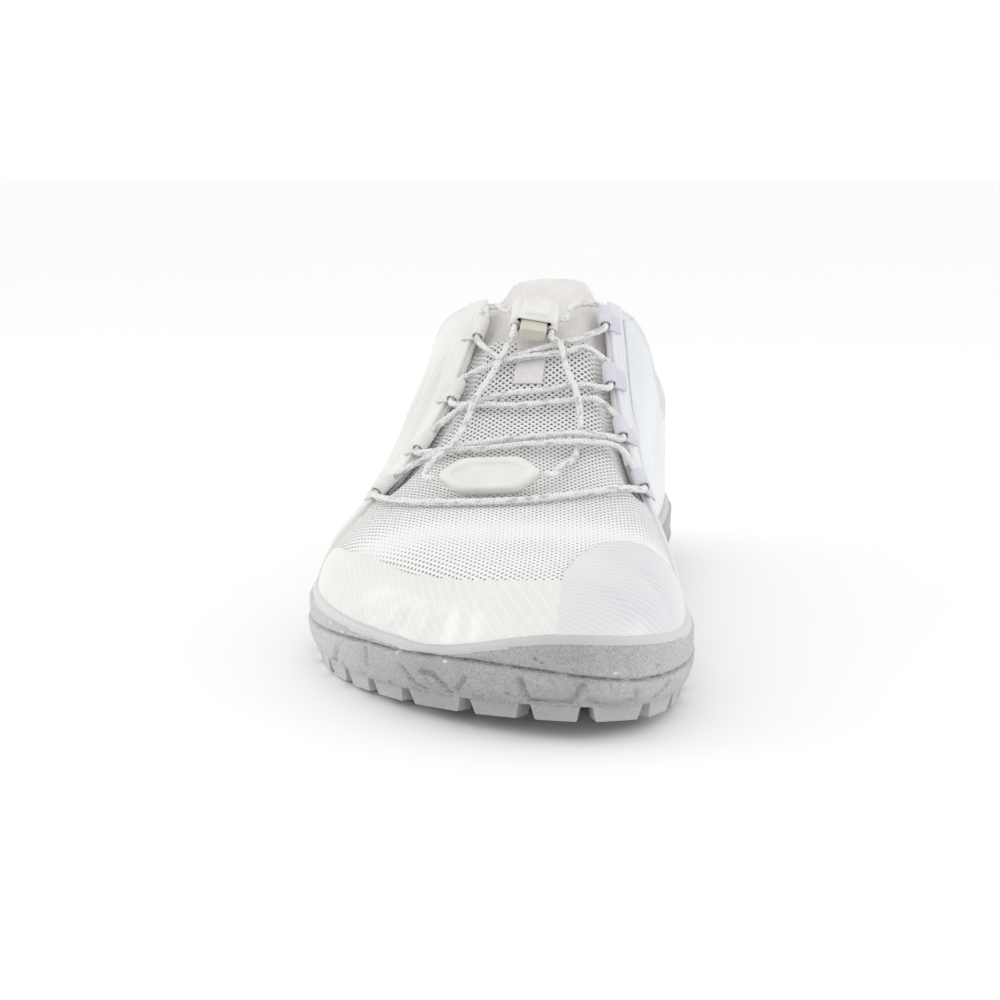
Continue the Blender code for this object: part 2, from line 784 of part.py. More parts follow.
def make_tongue(look):
    """Padded tongue that passes under the facings and meets the vamp at the throat's end."""
    rows = tongue_rows()
    columns = TONGUE_COLUMNS
    outer, inner, index = [], [], {}
    for r, along in enumerate(rows):
        pad = TONGUE_PAD * min(max((0.44 - along) / 0.06, 0.0), 1.0)
        for c, column in enumerate(columns):
            if r == len(rows) - 1 and c > 0:
                index[r, c] = index[r, 0]
                continue
            index[r, c] = len(outer)
            soft = pad * (1 - column**4)
            outer.append(tongue_point(along, column, 0.0))
            inner.append(tongue_point(along, column, -TONGUE_THICK - soft))
    faces = []
    for r in range(len(rows) - 1):
        for c in range(len(columns) - 1):
            corners = [index[r, c], index[r + 1, c], index[r + 1, c + 1], index[r, c + 1]]
            faces.append(list(dict.fromkeys(corners)))
    return layer("tongue", inner, outer, faces, look)


STRAP_PLACE = -0.0032
STRAP_SPAN = (0.372, 0.466)


def make_tongue_strap(look):
    """Woven tape down the middle of the tongue, below the cord lock."""
    rows = np.linspace(STRAP_SPAN[0], STRAP_SPAN[1], 6)
    half = STRAP_WIDTH / 2
    low, high, faces = [], [], []
    for along in rows:
        for x in (STRAP_PLACE - half, STRAP_PLACE, STRAP_PLACE + half):
            low.append(over_crown(x, along, GAP, tongue_blunt(along))[0])
            high.append(over_crown(x, along, GAP + STRAP_THICK, tongue_blunt(along))[0])
    for r in range(len(rows) - 1):
        for c in range(2):
            k = 3 * r + c
            faces.append([k, k + 3, k + 4, k + 1])
    return layer("tongue_strap", low, high, faces, look)


def film_shell(name, look):
    """Layer of film over the upper above the sole's rim, before it is cut to its outline."""
    low = SKIN.points + SKIN.normals * GAP
    high = SKIN.points + SKIN.normals * (GAP + FILM_THICK)
    return layer(name, low, high, SKIN.faces(SIDE_ROWS, UPPER_ROWS), look)


def facing_line(side, outward, start, end):
    """Plan points along the facing, moved outward, from start to end along the last."""
    line = []
    for along in np.linspace(start, end, PANEL_POINTS):
        line.append((facing_x(along, side) + side * outward, along * LAST_LENGTH))
    return line


def collar_tool(side):
    """Cutter for the band under the collar's edge that stays bare."""
    line = []
    for along in np.linspace(-0.03, 0.40, 13):
        high = smooth_column(COLLAR, 1, along) * INSTEP_HEIGHT - COLLAR_BAND
        line.append((along * LAST_LENGTH, float(high)))
    line += [(line[-1][0], 2 * INSTEP_HEIGHT), (line[0][0], 2 * INSTEP_HEIGHT)]
    low, high = sorted((0.0, side * BALL_WIDTH))
    return prism("collar_tool_" + SIDE_NAMES[side], line, low, high, 0)


def quarter_front(side):
    """Share along at which the quarter's front edge reaches the sole."""
    return 0.80 if side == MEDIAL else 0.735


def eyestay_width(side):
    return EYESTAY_MEDIAL if side == MEDIAL else EYESTAY_LATERAL


def make_quarter(side, look):
    """Film over the side of the heel and waist, from the back seam to the eyestay."""
    quarter = film_shell("quarter_" + SIDE_NAMES[side], look)
    seam = eyestay_width(side) + GAP
    line = facing_line(side, seam, QUARTER_START, quarter_front(side) - PANEL_SLANT)
    beyond = side * BALL_WIDTH
    behind = -BALL_WIDTH / 3
    outline = [(side * GAP, behind), (side * GAP, QUARTER_START * LAST_LENGTH)] + line
    outline += [(beyond, line[-1][1]), (beyond, behind)]
    tool = prism("quarter_tool_" + SIDE_NAMES[side], outline, 0, 2 * INSTEP_HEIGHT, 2)
    cut(quarter, "INTERSECT", tool)
    cut(quarter, "DIFFERENCE", collar_tool(side))
    return quarter


def make_eyestay(side, look):
    """Strip of film along the facing that carries the lace loops."""
    eyestay = film_shell("eyestay_" + SIDE_NAMES[side], look)
    inner = facing_line(side, 2 * GAP, EYESTAY_START, quarter_front(side))
    outer = facing_line(side, eyestay_width(side), EYESTAY_START, quarter_front(side) - PANEL_SLANT)
    outline = inner + outer[::-1]
    tool = prism("eyestay_tool_" + SIDE_NAMES[side], outline, 0, 2 * INSTEP_HEIGHT, 2)
    cut(eyestay, "INTERSECT", tool)
    return eyestay


# Toe guards in plan: share along, share of the ball width, from their common seam outward
GUARD_SEAM = [(0.925, 0.200), (0.960, 0.206), (1.060, 0.214)]
GUARD_MEDIAL_TOP = [
    (0.925, 0.200), (0.870, 0.222), (0.830, 0.275), (0.815, 0.345), (0.822, 0.430), (0.845, 0.620),
]
GUARD_LATERAL_TOP = [
    (0.925, 0.200), (0.922, 0.080), (0.905, -0.060), (0.868, -0.200), (0.815, -0.320), (0.752, -0.640),
]


def guard_outline(side):
    """Plan outline of one toe guard."""
    top = GUARD_MEDIAL_TOP if side == MEDIAL else GUARD_LATERAL_TOP
    shift = side * GAP / 2
    curve = open_curve([(across * BALL_WIDTH + shift, along * LAST_LENGTH) for along, across in top], 4)
    seam = [(across * BALL_WIDTH + shift, along * LAST_LENGTH) for along, across in GUARD_SEAM[1:]]
    corner = (side * BALL_WIDTH, 1.06 * LAST_LENGTH)
    outside = (side * BALL_WIDTH, curve[-1][1])
    return seam[::-1] + [tuple(point) for point in curve] + [outside, corner]


def make_toe_guard(side, look):
    guard = film_shell("toe_guard_" + SIDE_NAMES[side], look)
    tool = prism("guard_tool_" + SIDE_NAMES[side], guard_outline(side), 0, 2 * INSTEP_HEIGHT, 2)
    cut(guard, "INTERSECT", tool)
    return guard


def facing_frame(along, side):
    """Edge point of the facing, with the directions along it, into the throat and outward."""
    def edge(at):
        return skin(at, side, turn_at_x(at, side, facing_x(at, side)))

    run = edge(along + 0.004) - edge(along - 0.004)
    run /= np.linalg.norm(run)
    outward = over_crown(facing_x(along, side) - side * 0.001, along, 0.0)[1]
    outward -= run * np.dot(run, outward)
    outward /= np.linalg.norm(outward)
    inward = np.cross(outward, run) * side
    return edge(along), run, inward, outward


def loop_centre(along, side):
    edge, run, inward, outward = facing_frame(along, side)
    return edge + inward * (LOOP_BORE + LOOP_WALL + GAP) + outward * LOOP_LEVEL


def make_lace_loop(name, along, side, look):
    """Folded tape that makes a tunnel along the facing, with its tail on the eyestay."""
    _, run, inward, outward = facing_frame(along, side)
    centre = loop_centre(along, side)
    radius = LOOP_BORE + LOOP_WALL
    tail_low = STACK_GAP - LOOP_LEVEL
    tail_high = tail_low + LOOP_WALL
    start = math.pi + math.asin(-tail_high / radius)
    end = math.pi + math.asin(-tail_low / radius) - 2 * math.pi
    profile = []
    for turn in np.linspace(start, end, LOOP_ARC_POINTS):
        profile.append((radius * math.cos(turn), radius * math.sin(turn)))
    tail = -(radius + LOOP_TAIL)
    profile += [(tail, tail_low), (tail, tail_high)]
    bore_turns = 2 * math.pi * np.arange(LOOP_BORE_SIDES) / LOOP_BORE_SIDES
    bore = [(LOOP_BORE * math.cos(turn), LOOP_BORE * math.sin(turn)) for turn in bore_turns]
    loop = swept_profile(name, profile, centre, run, inward, outward, LOOP_LENGTH, look)
    tool = swept_profile(name + "_tool", bore, centre, run, inward, outward, 2 * LOOP_LENGTH, None)
    cut(loop, "DIFFERENCE", helper(tool))
    return loop


def swept_profile(name, profile, centre, run, inward, outward, length, look):
    """Straight prism of a profile given in the plane square to run."""
    points, faces = [], []
    for end in (-0.5, 0.5):
        for a, b in profile:
            points.append(centre + inward * a + outward * b + run * length * end)
    count = len(profile)
    faces = [list(range(count)), list(range(2 * count - 1, count - 1, -1))]
    for k in range(count):
        ahead = (k + 1) % count
        faces.append([k, ahead, ahead + count, k + count])
    return mesh_object(name, points, faces, look)


# Lace strands between the loops, points chosen by hand: place across (mm), share along, level (mm)
# Each strand starts below one loop and ends above the loop it crosses to.
STRANDS = {
    ("lock_medial", "medial_1"): [(8.6, 0.372, 3.6), (13.2, 0.361, 3.6)],
    ("lateral_1", "lock_lateral"): [(-18.6, 0.365, 3.6), (-15.6, 0.371, 4.4)],
    ("medial_1", "lateral_2"): [(12.0, 0.414, 3.0), (-2.0, 0.431, 3.1), (-13.0, 0.444, 2.8)],
    ("lateral_2", "medial_3"): [(-13.5, 0.505, 2.7), (-5.0, 0.508, 2.6), (9.6, 0.500, 2.6),
                                (19.0, 0.492, 2.7)],
    ("medial_3", "lateral_4"): [(24.0, 0.555, 3.4), (15.5, 0.566, 4.3), (1.9, 0.568, 3.0),
                                (-13.8, 0.574, 2.4), (-25.0, 0.580, 2.6)],
    ("lateral_4", "bar"): [(-35.0, 0.686, 1.8), (-26.0, 0.710, 1.6), (-14.5, 0.721, 1.6),
                           (-3.0, 0.721, 1.6)],
    ("bar", "medial_4"): [(-5.0, 0.7213, 1.6), (5.0, 0.716, 1.6), (15.0, 0.703, 1.7), (25.0, 0.684, 1.9),
                          (31.0, 0.664, 2.4)],
    ("medial_4", "lateral_3"): [(27.0, 0.566, 3.0), (18.3, 0.582, 4.2), (1.2, 0.584, 3.0),
                                (-13.3, 0.587, 2.4), (-24.0, 0.580, 2.6)],
    ("lateral_3", "medial_2"): [(-21.0, 0.500, 2.7), (-10.1, 0.490, 2.6), (2.7, 0.483, 2.6),
                                (14.0, 0.474, 2.8)],
    ("medial_2", "lateral_1"): [(13.7, 0.424, 2.8), (9.2, 0.431, 3.0), (-1.8, 0.438, 3.1),
                                (-12.0, 0.440, 2.9)],
}
LACE_FIRST = ("lock_medial", "medial_1", "lateral_2", "medial_3", "lateral_4", "bar")
LACE_SECOND = ("bar", "medial_4", "lateral_3", "medial_2", "lateral_1", "lock_lateral")


def loop_ends(name):
    """Points of the lace at both mouths of a loop: toward the collar, toward the toe."""
    side_name, number = name.split("_")
    side = MEDIAL if side_name == "medial" else LATERAL
    along = LOOP_PLACES[side][int(number) - 1]
    _, run, inward, _ = facing_frame(along, side)
    centre = loop_centre(along, side)
    reach = LOOP_LENGTH / 2
    near = [centre - run * reach, centre - run * (reach + LACE_STUB) + inward * LACE_STUB / 3]
    far = [centre + run * reach, centre + run * (reach + LACE_STUB) + inward * LACE_STUB / 3]
    return near, far


def strand_points(key):
    return [over_crown(x / 1000, along, level / 1000, tongue_blunt(along))[0]
            for x, along, level in STRANDS[key]]


def lace_route(stops, lock_end):
    """Smooth route of half of the lace through its loops."""
    route = []
    leaving = []
    for k, stop in enumerate(stops):
        if k > 0 and (stops[k - 1], stop) in STRANDS:
            middle = leaving + strand_points((stops[k - 1], stop))
        elif k > 0:
            middle = leaving
        else:
            middle = []
        if stop.startswith("lock"):
            middle = middle + lock_end if k else lock_end
        if "_" in stop and not stop.startswith("lock"):
            near, far = loop_ends(stop)
            toward_toe = stops is LACE_FIRST
            arrive, depart = (near, far) if toward_toe else (far, near)
            middle = middle + [arrive[1], arrive[0]]
            route.append(open_curve(middle, 4))
            leaving = [depart[0], depart[1]]
        elif k == 0:
            leaving = middle
        else:
            route.append(open_curve(middle, 4))
    return thin_out(np.vstack(route))


def thin_out(points):
    """Drop points where the route is nearly straight."""
    kept = [points[0]]
    for k in range(1, len(points) - 1):
        span = points[k] - kept[-1]
        ahead = points[k + 1] - points[k]
        if np.linalg.norm(span) < LACE_POINT_LEAST:
            continue
        angle = Vector(span).angle(Vector(ahead), 0.0) if np.linalg.norm(ahead) > 1e-6 else 0.0
        if angle > LACE_POINT_BEND or np.linalg.norm(span) > LACE_POINT_REACH:
            kept.append(points[k])
    kept.append(points[-1])
    return np.array(kept)


def tube(name, route, radius, look, sides=LACE_SIDES):
    """Closed tube along a route, its section carried along without twist."""
    points, faces = [], []
    route = np.array(route)
    runs = np.gradient(route, axis=0)
    runs /= np.linalg.norm(runs, axis=1)[:, None]
    across = np.cross(runs[0], (0, 0, 1))
    across /= np.linalg.norm(across)
    for point, run in zip(route, runs):
        across = across - run * np.dot(across, run)
        across /= np.linalg.norm(across)
        other = np.cross(run, across)
        for k in range(sides):
            turn = 2 * math.pi * k / sides
            points.append(point + radius * (across * math.cos(turn) + other * math.sin(turn)))
    for ring in range(len(route) - 1):
        for k in range(sides):
            ahead = (k + 1) % sides
            low, high = ring * sides, (ring + 1) * sides
            faces.append([low + k, low + ahead, high + ahead, high + k])
    faces.append(list(range(sides)))
    faces.append([len(points) - 1 - k for k in range(sides)])
    return mesh_object(name, points, faces, look)


# Cord lock: place across (mm), share along, roll in degrees
LOCK_PLACE = (-3.6, 0.401)
LOCK_ROLL = 12.0


def lock_frame():
    """Centre of the lock's underside, with its width, downhill and outward directions."""
    x, along = LOCK_PLACE[0] / 1000, LOCK_PLACE[1]
    blunt = tongue_blunt(along)
    seat, outward = over_crown(x, along, GAP + STRAP_THICK + GAP + LACE_RADIUS * 0.6, blunt)
    downhill = over_crown(x, along + 0.01, 0, blunt)[0] - over_crown(x, along - 0.01, 0, blunt)[0]
    downhill /= np.linalg.norm(downhill)
    roll = Matrix.Rotation(math.radians(LOCK_ROLL), 3, Vector(downhill))
    width = np.cross(downhill, outward)
    width = np.array(roll @ Vector(width))
    outward = np.cross(width, downhill)
    seat = seat + outward * LOCK_WIDTH / 2 * math.sin(math.radians(LOCK_ROLL))
    return seat, width, downhill, outward


def lock_place(a, b, c):
    """Point in the lock: across, downhill from its middle, above its underside."""
    seat, width, downhill, outward = lock_frame()
    return seat + width * a + downhill * b + outward * c


def rounded_box(name, size, centre, corner, look):
    """Box in the lock's frame with its corners cut in plan."""
    width, length, height = size
    x, y, z = centre
    outline = []
    for sx, sy in ((1, 1), (-1, 1), (-1, -1), (1, -1)):
        first = (sx * width / 2, sy * (length / 2 - corner))
        second = (sx * (width / 2 - corner), sy * length / 2)
        outline += [first, second] if sx * sy > 0 else [second, first]
    points = []
    for level in (z - height / 2, z + height / 2):
        points += [lock_place(x + a, y + b, level) for a, b in outline]
    count = len(outline)
    faces = [list(range(count)), list(range(2 * count - 1, count - 1, -1))]
    for k in range(count):
        ahead = (k + 1) % count
        faces.append([k, ahead, ahead + count, k + count])
    return mesh_object(name, points, faces, look, smooth=False)


def make_lock(look, button_look):
    """Housing with a pocket that opens downhill, and the spring button in it."""
    middle = LOCK_HEIGHT / 2
    size = (LOCK_WIDTH, LOCK_LENGTH, LOCK_HEIGHT)
    housing = rounded_box("lock_housing", size, (0, 0, middle), LOCK_CORNER, look)
    pad_size = (LOCK_PAD, LOCK_PAD * 0.86, LOCK_PAD_RISE * 2)
    pad = rounded_box("lock_pad_tool", pad_size, (0, 0, LOCK_HEIGHT), PAD_CORNER, None)
    cut(housing, "UNION", helper(pad))
    button_width = LOCK_WIDTH - 2 * (LOCK_WALL + BUTTON_CLEARANCE) - 2 * TAIL_RADIUS
    button_height = LOCK_HEIGHT - 2 * (LOCK_WALL + BUTTON_CLEARANCE)
    button_length = LOCK_LENGTH - LOCK_WALL - BUTTON_CLEARANCE - BUTTON_TRAVEL + BUTTON_OUT
    pocket_size = (button_width + 2 * BUTTON_CLEARANCE, LOCK_LENGTH, button_height + 2 * BUTTON_CLEARANCE)
    pocket = rounded_box("lock_pocket_tool", pocket_size, (0, LOCK_WALL, middle), POCKET_CORNER, None)
    cut(housing, "DIFFERENCE", helper(pocket))
    button_place = (0, LOCK_LENGTH / 2 + BUTTON_OUT - button_length / 2, middle)
    button_size = (button_width, button_length, button_height)
    button = rounded_box("lock_button", button_size, button_place, BUTTON_CORNER, button_look)
    origin = Vector(to_world(lock_place(*button_place)))
    button.data.transform(Matrix.Translation(-origin))
    button.location = origin
    return housing


# End clip: place across and height over the floor (mm), share along, tilt from the floor in degrees
CLIP_PLACE = (-7.0, 0.690, 55.0)
CLIP_TILT = 42.0
CLIP_TURN = -3.0


def clip_place(a, b, c):
    """Point in the clip: along it, up it, and out of its face."""
    tilt = math.radians(CLIP_TILT)
    turn = math.radians(CLIP_TURN)
    along = np.array([math.cos(turn), 0.0, -math.sin(turn)])
    up = np.array([0.0, -math.cos(tilt), math.sin(tilt)])
    face = np.cross(up, along)
    x, share, z = CLIP_PLACE
    centre = np.array([x / 1000, share * LAST_LENGTH, z / 1000])
    return centre + along * a + up * b + face * c


def make_clip(look):
    """Long six-sided clip with a sunk panel on both faces."""
    half, wide, thick = CLIP_LENGTH / 2, CLIP_WIDTH / 2, CLIP_THICK / 2
    rings = [(1.0, 1.0, -0.6), (1.0, 1.0, 0.6), (0.93, 0.86, 1.0), (0.80, 0.66, 1.0), (0.76, 0.58, 1.0)]
    sink = (0.0, 0.0, 0.0, 0.0, CLIP_PANEL)
    points, faces = [], []
    outline = [(1.0, 0.30), (0.42, 1.0), (-0.42, 1.0), (-1.0, 0.30),
               (-1.0, -0.30), (-0.42, -1.0), (0.42, -1.0), (1.0, -0.30)]
    back = [(0.93, 0.86, -1.0)]
    for (a, b, c), low in zip(back + rings, (0.0,) + sink):
        for u, v in outline:
            points.append(clip_place(half * a * u, wide * b * v, thick * c - low))
    count = len(outline)
    for ring in range(len(rings)):
        for k in range(count):
            ahead = (k + 1) % count
            low, high = ring * count, (ring + 1) * count
            faces.append([low + k, low + ahead, high + ahead, high + k])
    faces.append(list(range(count)))
    faces.append([len(points) - 1 - k for k in range(count)])
    return mesh_object("lace_end_clip", points, faces, look, smooth=False)


# Free ends of the lace from the lock to the clip, points chosen by hand:
# place across (mm), share along, level (mm)
TAIL_ROUTES = {
    MEDIAL: [(6.4, 0.430, 6.2), (9.6, 0.462, 5.8), (13.6, 0.500, 5.6), (15.6, 0.535, 3.6),
             (16.0, 0.573, 1.45), (15.4, 0.612, 2.2), (12.6, 0.640, 3.6)],
    LATERAL: [(-10.2, 0.430, 5.6), (-13.9, 0.468, 5.6), (-17.6, 0.506, 5.6), (-19.0, 0.545, 5.2),
              (-21.5, 0.590, 5.4), (-25.6, 0.632, 5.8)],
}


def tail_route(side):
    """Route of one free end, from beside the lock's button to the end of the clip."""
    start_x = side * (LOCK_WIDTH / 2 - LOCK_WALL / 2 - TAIL_RADIUS)
    ends = (0.0, TAIL_STUB)
    start = [lock_place(start_x, LOCK_LENGTH / 2 + GAP + reach, LOCK_HEIGHT * TAIL_MOUTH) for reach in ends]
    route = [over_crown(x / 1000, along, level / 1000, tongue_blunt(along))[0]
             for x, along, level in TAIL_ROUTES[side]]
    end = [clip_place(side * (CLIP_LENGTH / 2 + GAP + reach), 0, 0) for reach in ends[::-1]]
    return start + route + end


def make_tail(side, look):
    """Free end of the lace as a round cord."""
    route = open_curve(tail_route(side), 4)
    lengths = np.r_[0, np.cumsum(np.linalg.norm(np.diff(route, axis=0), axis=1))]
    count = int(lengths[-1] / TAIL_POINT_PITCH) + 1
    bends = np.linspace(TAIL_STUB, lengths[-1] - TAIL_STUB, count)
    places = np.r_[0, bends, lengths[-1]]
    smooth = np.array([[np.interp(at, lengths, route[:, axis]) for axis in range(3)] for at in places])
    name = "lace_end_" + SIDE_NAMES[side]
    curve = bpy.data.curves.new(name, "CURVE")
    curve.dimensions = "3D"
    curve.bevel_depth = TAIL_RADIUS
    curve.bevel_resolution = TAIL_ROUNDNESS
    curve.use_fill_caps = True
    curve.render_resolution_u = 0
    line = curve.splines.new("POLY")
    line.points.add(len(smooth) - 1)
    for control, point in zip(line.points, smooth):
        control.co = (*to_world(point), 1.0)
    curve.materials.append(look)
    made = bpy.data.objects.new(name, curve)
    made.parent = bpy.data.objects.get("shoe")
    bpy.context.collection.objects.link(made)
    return made


def lock_mouth(side):
    """Points of the lace where it enters the lock's side."""
    edge = LOCK_WIDTH / 2 + GAP
    return [lock_place(side * (edge + LACE_RADIUS * reach), -LOCK_LENGTH * 0.18, LOCK_HEIGHT * LACE_MOUTH)
            for reach in (0.0, 1.6)]


def make_lace(look):
    """Lace between the lock and the bar at the vamp: both halves joined where they cross."""
    start = lock_mouth(MEDIAL)
    end = lock_mouth(LATERAL)[::-1]
    lace = tube("lace", lace_route(LACE_FIRST, start), LACE_RADIUS, look)
    second = tube("lace_tool", lace_route(LACE_SECOND, end), LACE_RADIUS, None)
    cut(lace, "UNION", helper(second))
    return lace


def clear_scene():
    for made in list(bpy.data.objects):
        bpy.data.objects.remove(made, do_unlink=True)


def centre_in_plan(root, outsole):
    """Shift the whole shoe so that the middle of its sole's box in plan is the origin."""
    places = np.array([corner.co[:2] for corner in outsole.data.vertices])
    middle = (places.min(axis=0) + places.max(axis=0)) / 2
    root.location = (-middle[0], -middle[1], 0.0)


def main():
    clear_scene()
    root = bpy.data.objects.new("shoe", None)
    bpy.context.collection.objects.link(root)
    rubber = material("grey_rubber", (0.58, 0.58, 0.60), 0.62)
    mesh_cloth = material("white_mesh", (0.86, 0.86, 0.88), 0.85)
    lining = material("tongue_cloth", (0.85, 0.83, 0.82), 0.85)
    cream = material("cream_film", (0.88, 0.88, 0.84), 0.45)
    blue = material("pale_blue_film", (0.76, 0.79, 0.84), 0.45)
    lilac = material("lilac_tape", (0.78, 0.78, 0.84), 0.60)
    cord = material("white_cord", (0.86, 0.86, 0.85), 0.80)
    plastic = material("cream_plastic", (0.85, 0.84, 0.81), 0.40)
    beige = material("beige_plastic", (0.79, 0.77, 0.71), 0.40)
    foam = material("footbed_foam", (0.60, 0.61, 0.63), 0.90)

    outsole = make_outsole(rubber)
    centre_in_plan(root, outsole)
    make_upper(mesh_cloth)
    make_insole(foam)
    make_tongue(lining)
    make_tongue_strap(cream)
    films = {MEDIAL: blue, LATERAL: cream}
    tapes = {MEDIAL: lilac, LATERAL: cream}
    for side in SIDES:
        make_quarter(side, films[side])
        make_eyestay(side, tapes[side])
        make_toe_guard(side, films[side])
        for number, along in enumerate(LOOP_PLACES[side], 1):
            make_lace_loop(f"lace_loop_{SIDE_NAMES[side]}_{number}", along, side, tapes[side])
        make_tail(side, cord)
    make_lace(cord)
    make_lock(plastic, beige)
    make_clip(plastic)


main()
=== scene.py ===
# %% [markdown]
# # Right barefoot shoe
# The frame holds the solids of the shoe. This notebook dresses them: every soft solid is
# replaced by a piece with the true thickness, holes, folds and cloth, in the same place.

# %% Load the fixed frame
import math

import bmesh
import bpy
import numpy as np
from mathutils import Matrix, Vector


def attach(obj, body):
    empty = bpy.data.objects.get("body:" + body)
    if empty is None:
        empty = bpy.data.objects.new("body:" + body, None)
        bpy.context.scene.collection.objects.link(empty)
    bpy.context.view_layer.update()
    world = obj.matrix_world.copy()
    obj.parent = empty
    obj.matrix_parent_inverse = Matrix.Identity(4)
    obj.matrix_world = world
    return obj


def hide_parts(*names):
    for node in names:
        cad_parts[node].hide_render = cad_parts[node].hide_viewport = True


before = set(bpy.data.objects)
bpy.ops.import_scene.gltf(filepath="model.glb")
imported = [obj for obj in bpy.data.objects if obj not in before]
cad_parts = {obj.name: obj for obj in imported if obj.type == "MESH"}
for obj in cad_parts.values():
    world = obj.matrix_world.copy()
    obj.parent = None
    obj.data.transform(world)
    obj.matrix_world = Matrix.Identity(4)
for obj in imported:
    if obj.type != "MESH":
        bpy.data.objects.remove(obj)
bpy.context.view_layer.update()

# %% [markdown]
# ## The camera
# A long lens from the front and a little above keeps the toe box wide and the heel small. The place
# and turn come from matching the outline, the lace and the sole of the model with the picture.

# %% Camera
CAMERA_PLACE = Vector((0.079716, -0.650541, 0.152))
CAMERA_YAW = math.radians(-7.6287)
CAMERA_PITCH = math.radians(9.8119)

lens = bpy.data.cameras.new("camera")
lens.sensor_width = 36.0
lens.lens = 74.385
camera = bpy.data.objects.new("camera", lens)
aim = Vector((math.sin(CAMERA_YAW) * math.cos(CAMERA_PITCH),
              math.cos(CAMERA_YAW) * math.cos(CAMERA_PITCH), -math.sin(CAMERA_PITCH)))
camera.location = CAMERA_PLACE
camera.rotation_euler = aim.to_track_quat("-Z", "Y").to_euler()
bpy.context.collection.objects.link(camera)
bpy.context.scene.camera = camera
print("camera at", tuple(round(value, 3) for value in camera.location))

# %% [markdown]
# ## The last
# A shoe is built over a last, a wooden foot. Its form is a few tables: the outline of the foot's
# floor, and sections that say how high and how blunt the skin is at each share of the length. Every
# layer of the shoe is a thin sheet at its own level over this one skin, so the layers never cross.

# %% Sizes of the last, the layers and the sole
LAST_LENGTH = 0.279
BALL_WIDTH = 0.106
INSTEP_HEIGHT = 0.094
ROOT_SHIFT = (0.003616, -0.000541)
GAP = 0.0003
LUG_HEIGHT = 0.0042
BASE_THICK = 0.0033
FOOT_FLOOR = LUG_HEIGHT + BASE_THICK
SPRING_START = 0.72
TOE_SPRING = 0.0055
ARCH_MIDDLE = 0.42
ARCH_HALF = 0.17
ARCH_RISE = 0.0012
SPINE_HEEL = 0.14
SPINE_TOE = 0.80
FAN_SPREAD = 0.07
THROAT_ROUND = 0.050
THROAT_END = 0.665
TONGUE_TOP = 0.285
FILM_THICK = 0.0008
MEDIAL = 1
LATERAL = -1
SIDES = (MEDIAL, LATERAL)
SIDE_NAMES = {MEDIAL: "medial", LATERAL: "lateral"}
EYESTAY = {MEDIAL: 0.0050, LATERAL: 0.0068}

# Outline of the foot's floor: share along from the heel, place across as a share of the ball's width
OUTLINE = [
    (0.000, 0.000), (0.030, 0.190), (0.110, 0.318), (0.220, 0.338),
    (0.350, 0.318), (0.470, 0.330), (0.590, 0.398), (0.700, 0.455), (0.800, 0.490),
    (0.890, 0.480), (0.955, 0.430), (0.990, 0.350), (1.000, 0.260),
    (0.990, 0.110), (0.950, -0.095), (0.875, -0.305), (0.780, -0.475),
    (0.680, -0.558), (0.570, -0.535), (0.440, -0.460), (0.320, -0.395),
    (0.200, -0.350), (0.100, -0.305), (0.030, -0.190),
]
# Share along, ridge height, ridge across, bluntness of the medial and of the lateral side
SECTIONS = [
    (0.00, 0.90, 0.00, 5.0, 5.0), (0.15, 1.00, 0.00, 6.0, 6.0), (0.30, 1.12, 0.01, 5.4, 5.4),
    (0.38, 1.00, 0.02, 4.4, 4.0), (0.48, 0.77, 0.04, 3.7, 3.1), (0.57, 0.63, 0.06, 3.4, 2.8),
    (0.66, 0.545, 0.09, 3.4, 2.9), (0.76, 0.485, 0.12, 3.5, 3.3), (0.88, 0.425, 0.15, 3.3, 3.0),
    (1.00, 0.38, 0.16, 2.9, 2.9),
]
# Share along and height of the collar's edge, as a share of the instep's height
COLLAR = [
    (0.00, 0.83), (0.06, 0.80), (0.14, 0.67), (0.21, 0.65),
    (0.27, 0.76), (0.32, 0.95), (0.36, 1.12), (0.45, 1.30),
]
# Share along, medial and lateral place of the facing's edge across
FACING = [
    (0.30, 0.165, -0.180), (0.36, 0.184, -0.197), (0.42, 0.210, -0.228), (0.48, 0.244, -0.272),
    (0.54, 0.286, -0.326), (0.60, 0.336, -0.388), (0.66, 0.395, -0.465), (0.72, 0.450, -0.560),
    (0.78, 0.505, -0.640),
]
# Share along, height of the sole's rim on the medial and the lateral side
RIM = [
    (0.00, 0.200, 0.200), (0.10, 0.185, 0.185), (0.25, 0.150, 0.150), (0.42, 0.140, 0.140),
    (0.58, 0.145, 0.150), (0.70, 0.145, 0.152), (0.80, 0.145, 0.136), (0.90, 0.148, 0.116),
    (0.950, 0.156, 0.108), (0.975, 0.160, 0.128), (1.00, 0.166, 0.166),
]


# %% Smooth curves through tables and points
def unit(value):
    """The value, kept between 0 and 1."""
    return np.clip(value, 0, 1)


def smooth_column(table, column, at):
    """Read one column of a table as a smooth curve through its rows."""
    rows = np.array(table, float)
    places, values = rows[:, 0], rows[:, column]
    slope = np.gradient(values, places)
    at = np.clip(np.asarray(at, float), places[0], places[-1])
    k = np.clip(np.searchsorted(places, at, side="right") - 1, 0, len(places) - 2)
    step = places[k + 1] - places[k]
    u = (at - places[k]) / step
    low = (2 * u**3 - 3 * u**2 + 1) * values[k] + (u**3 - 2 * u**2 + u) * step * slope[k]
    high = (3 * u**2 - 2 * u**3) * values[k + 1] + (u**3 - u**2) * step * slope[k + 1]
    return low + high


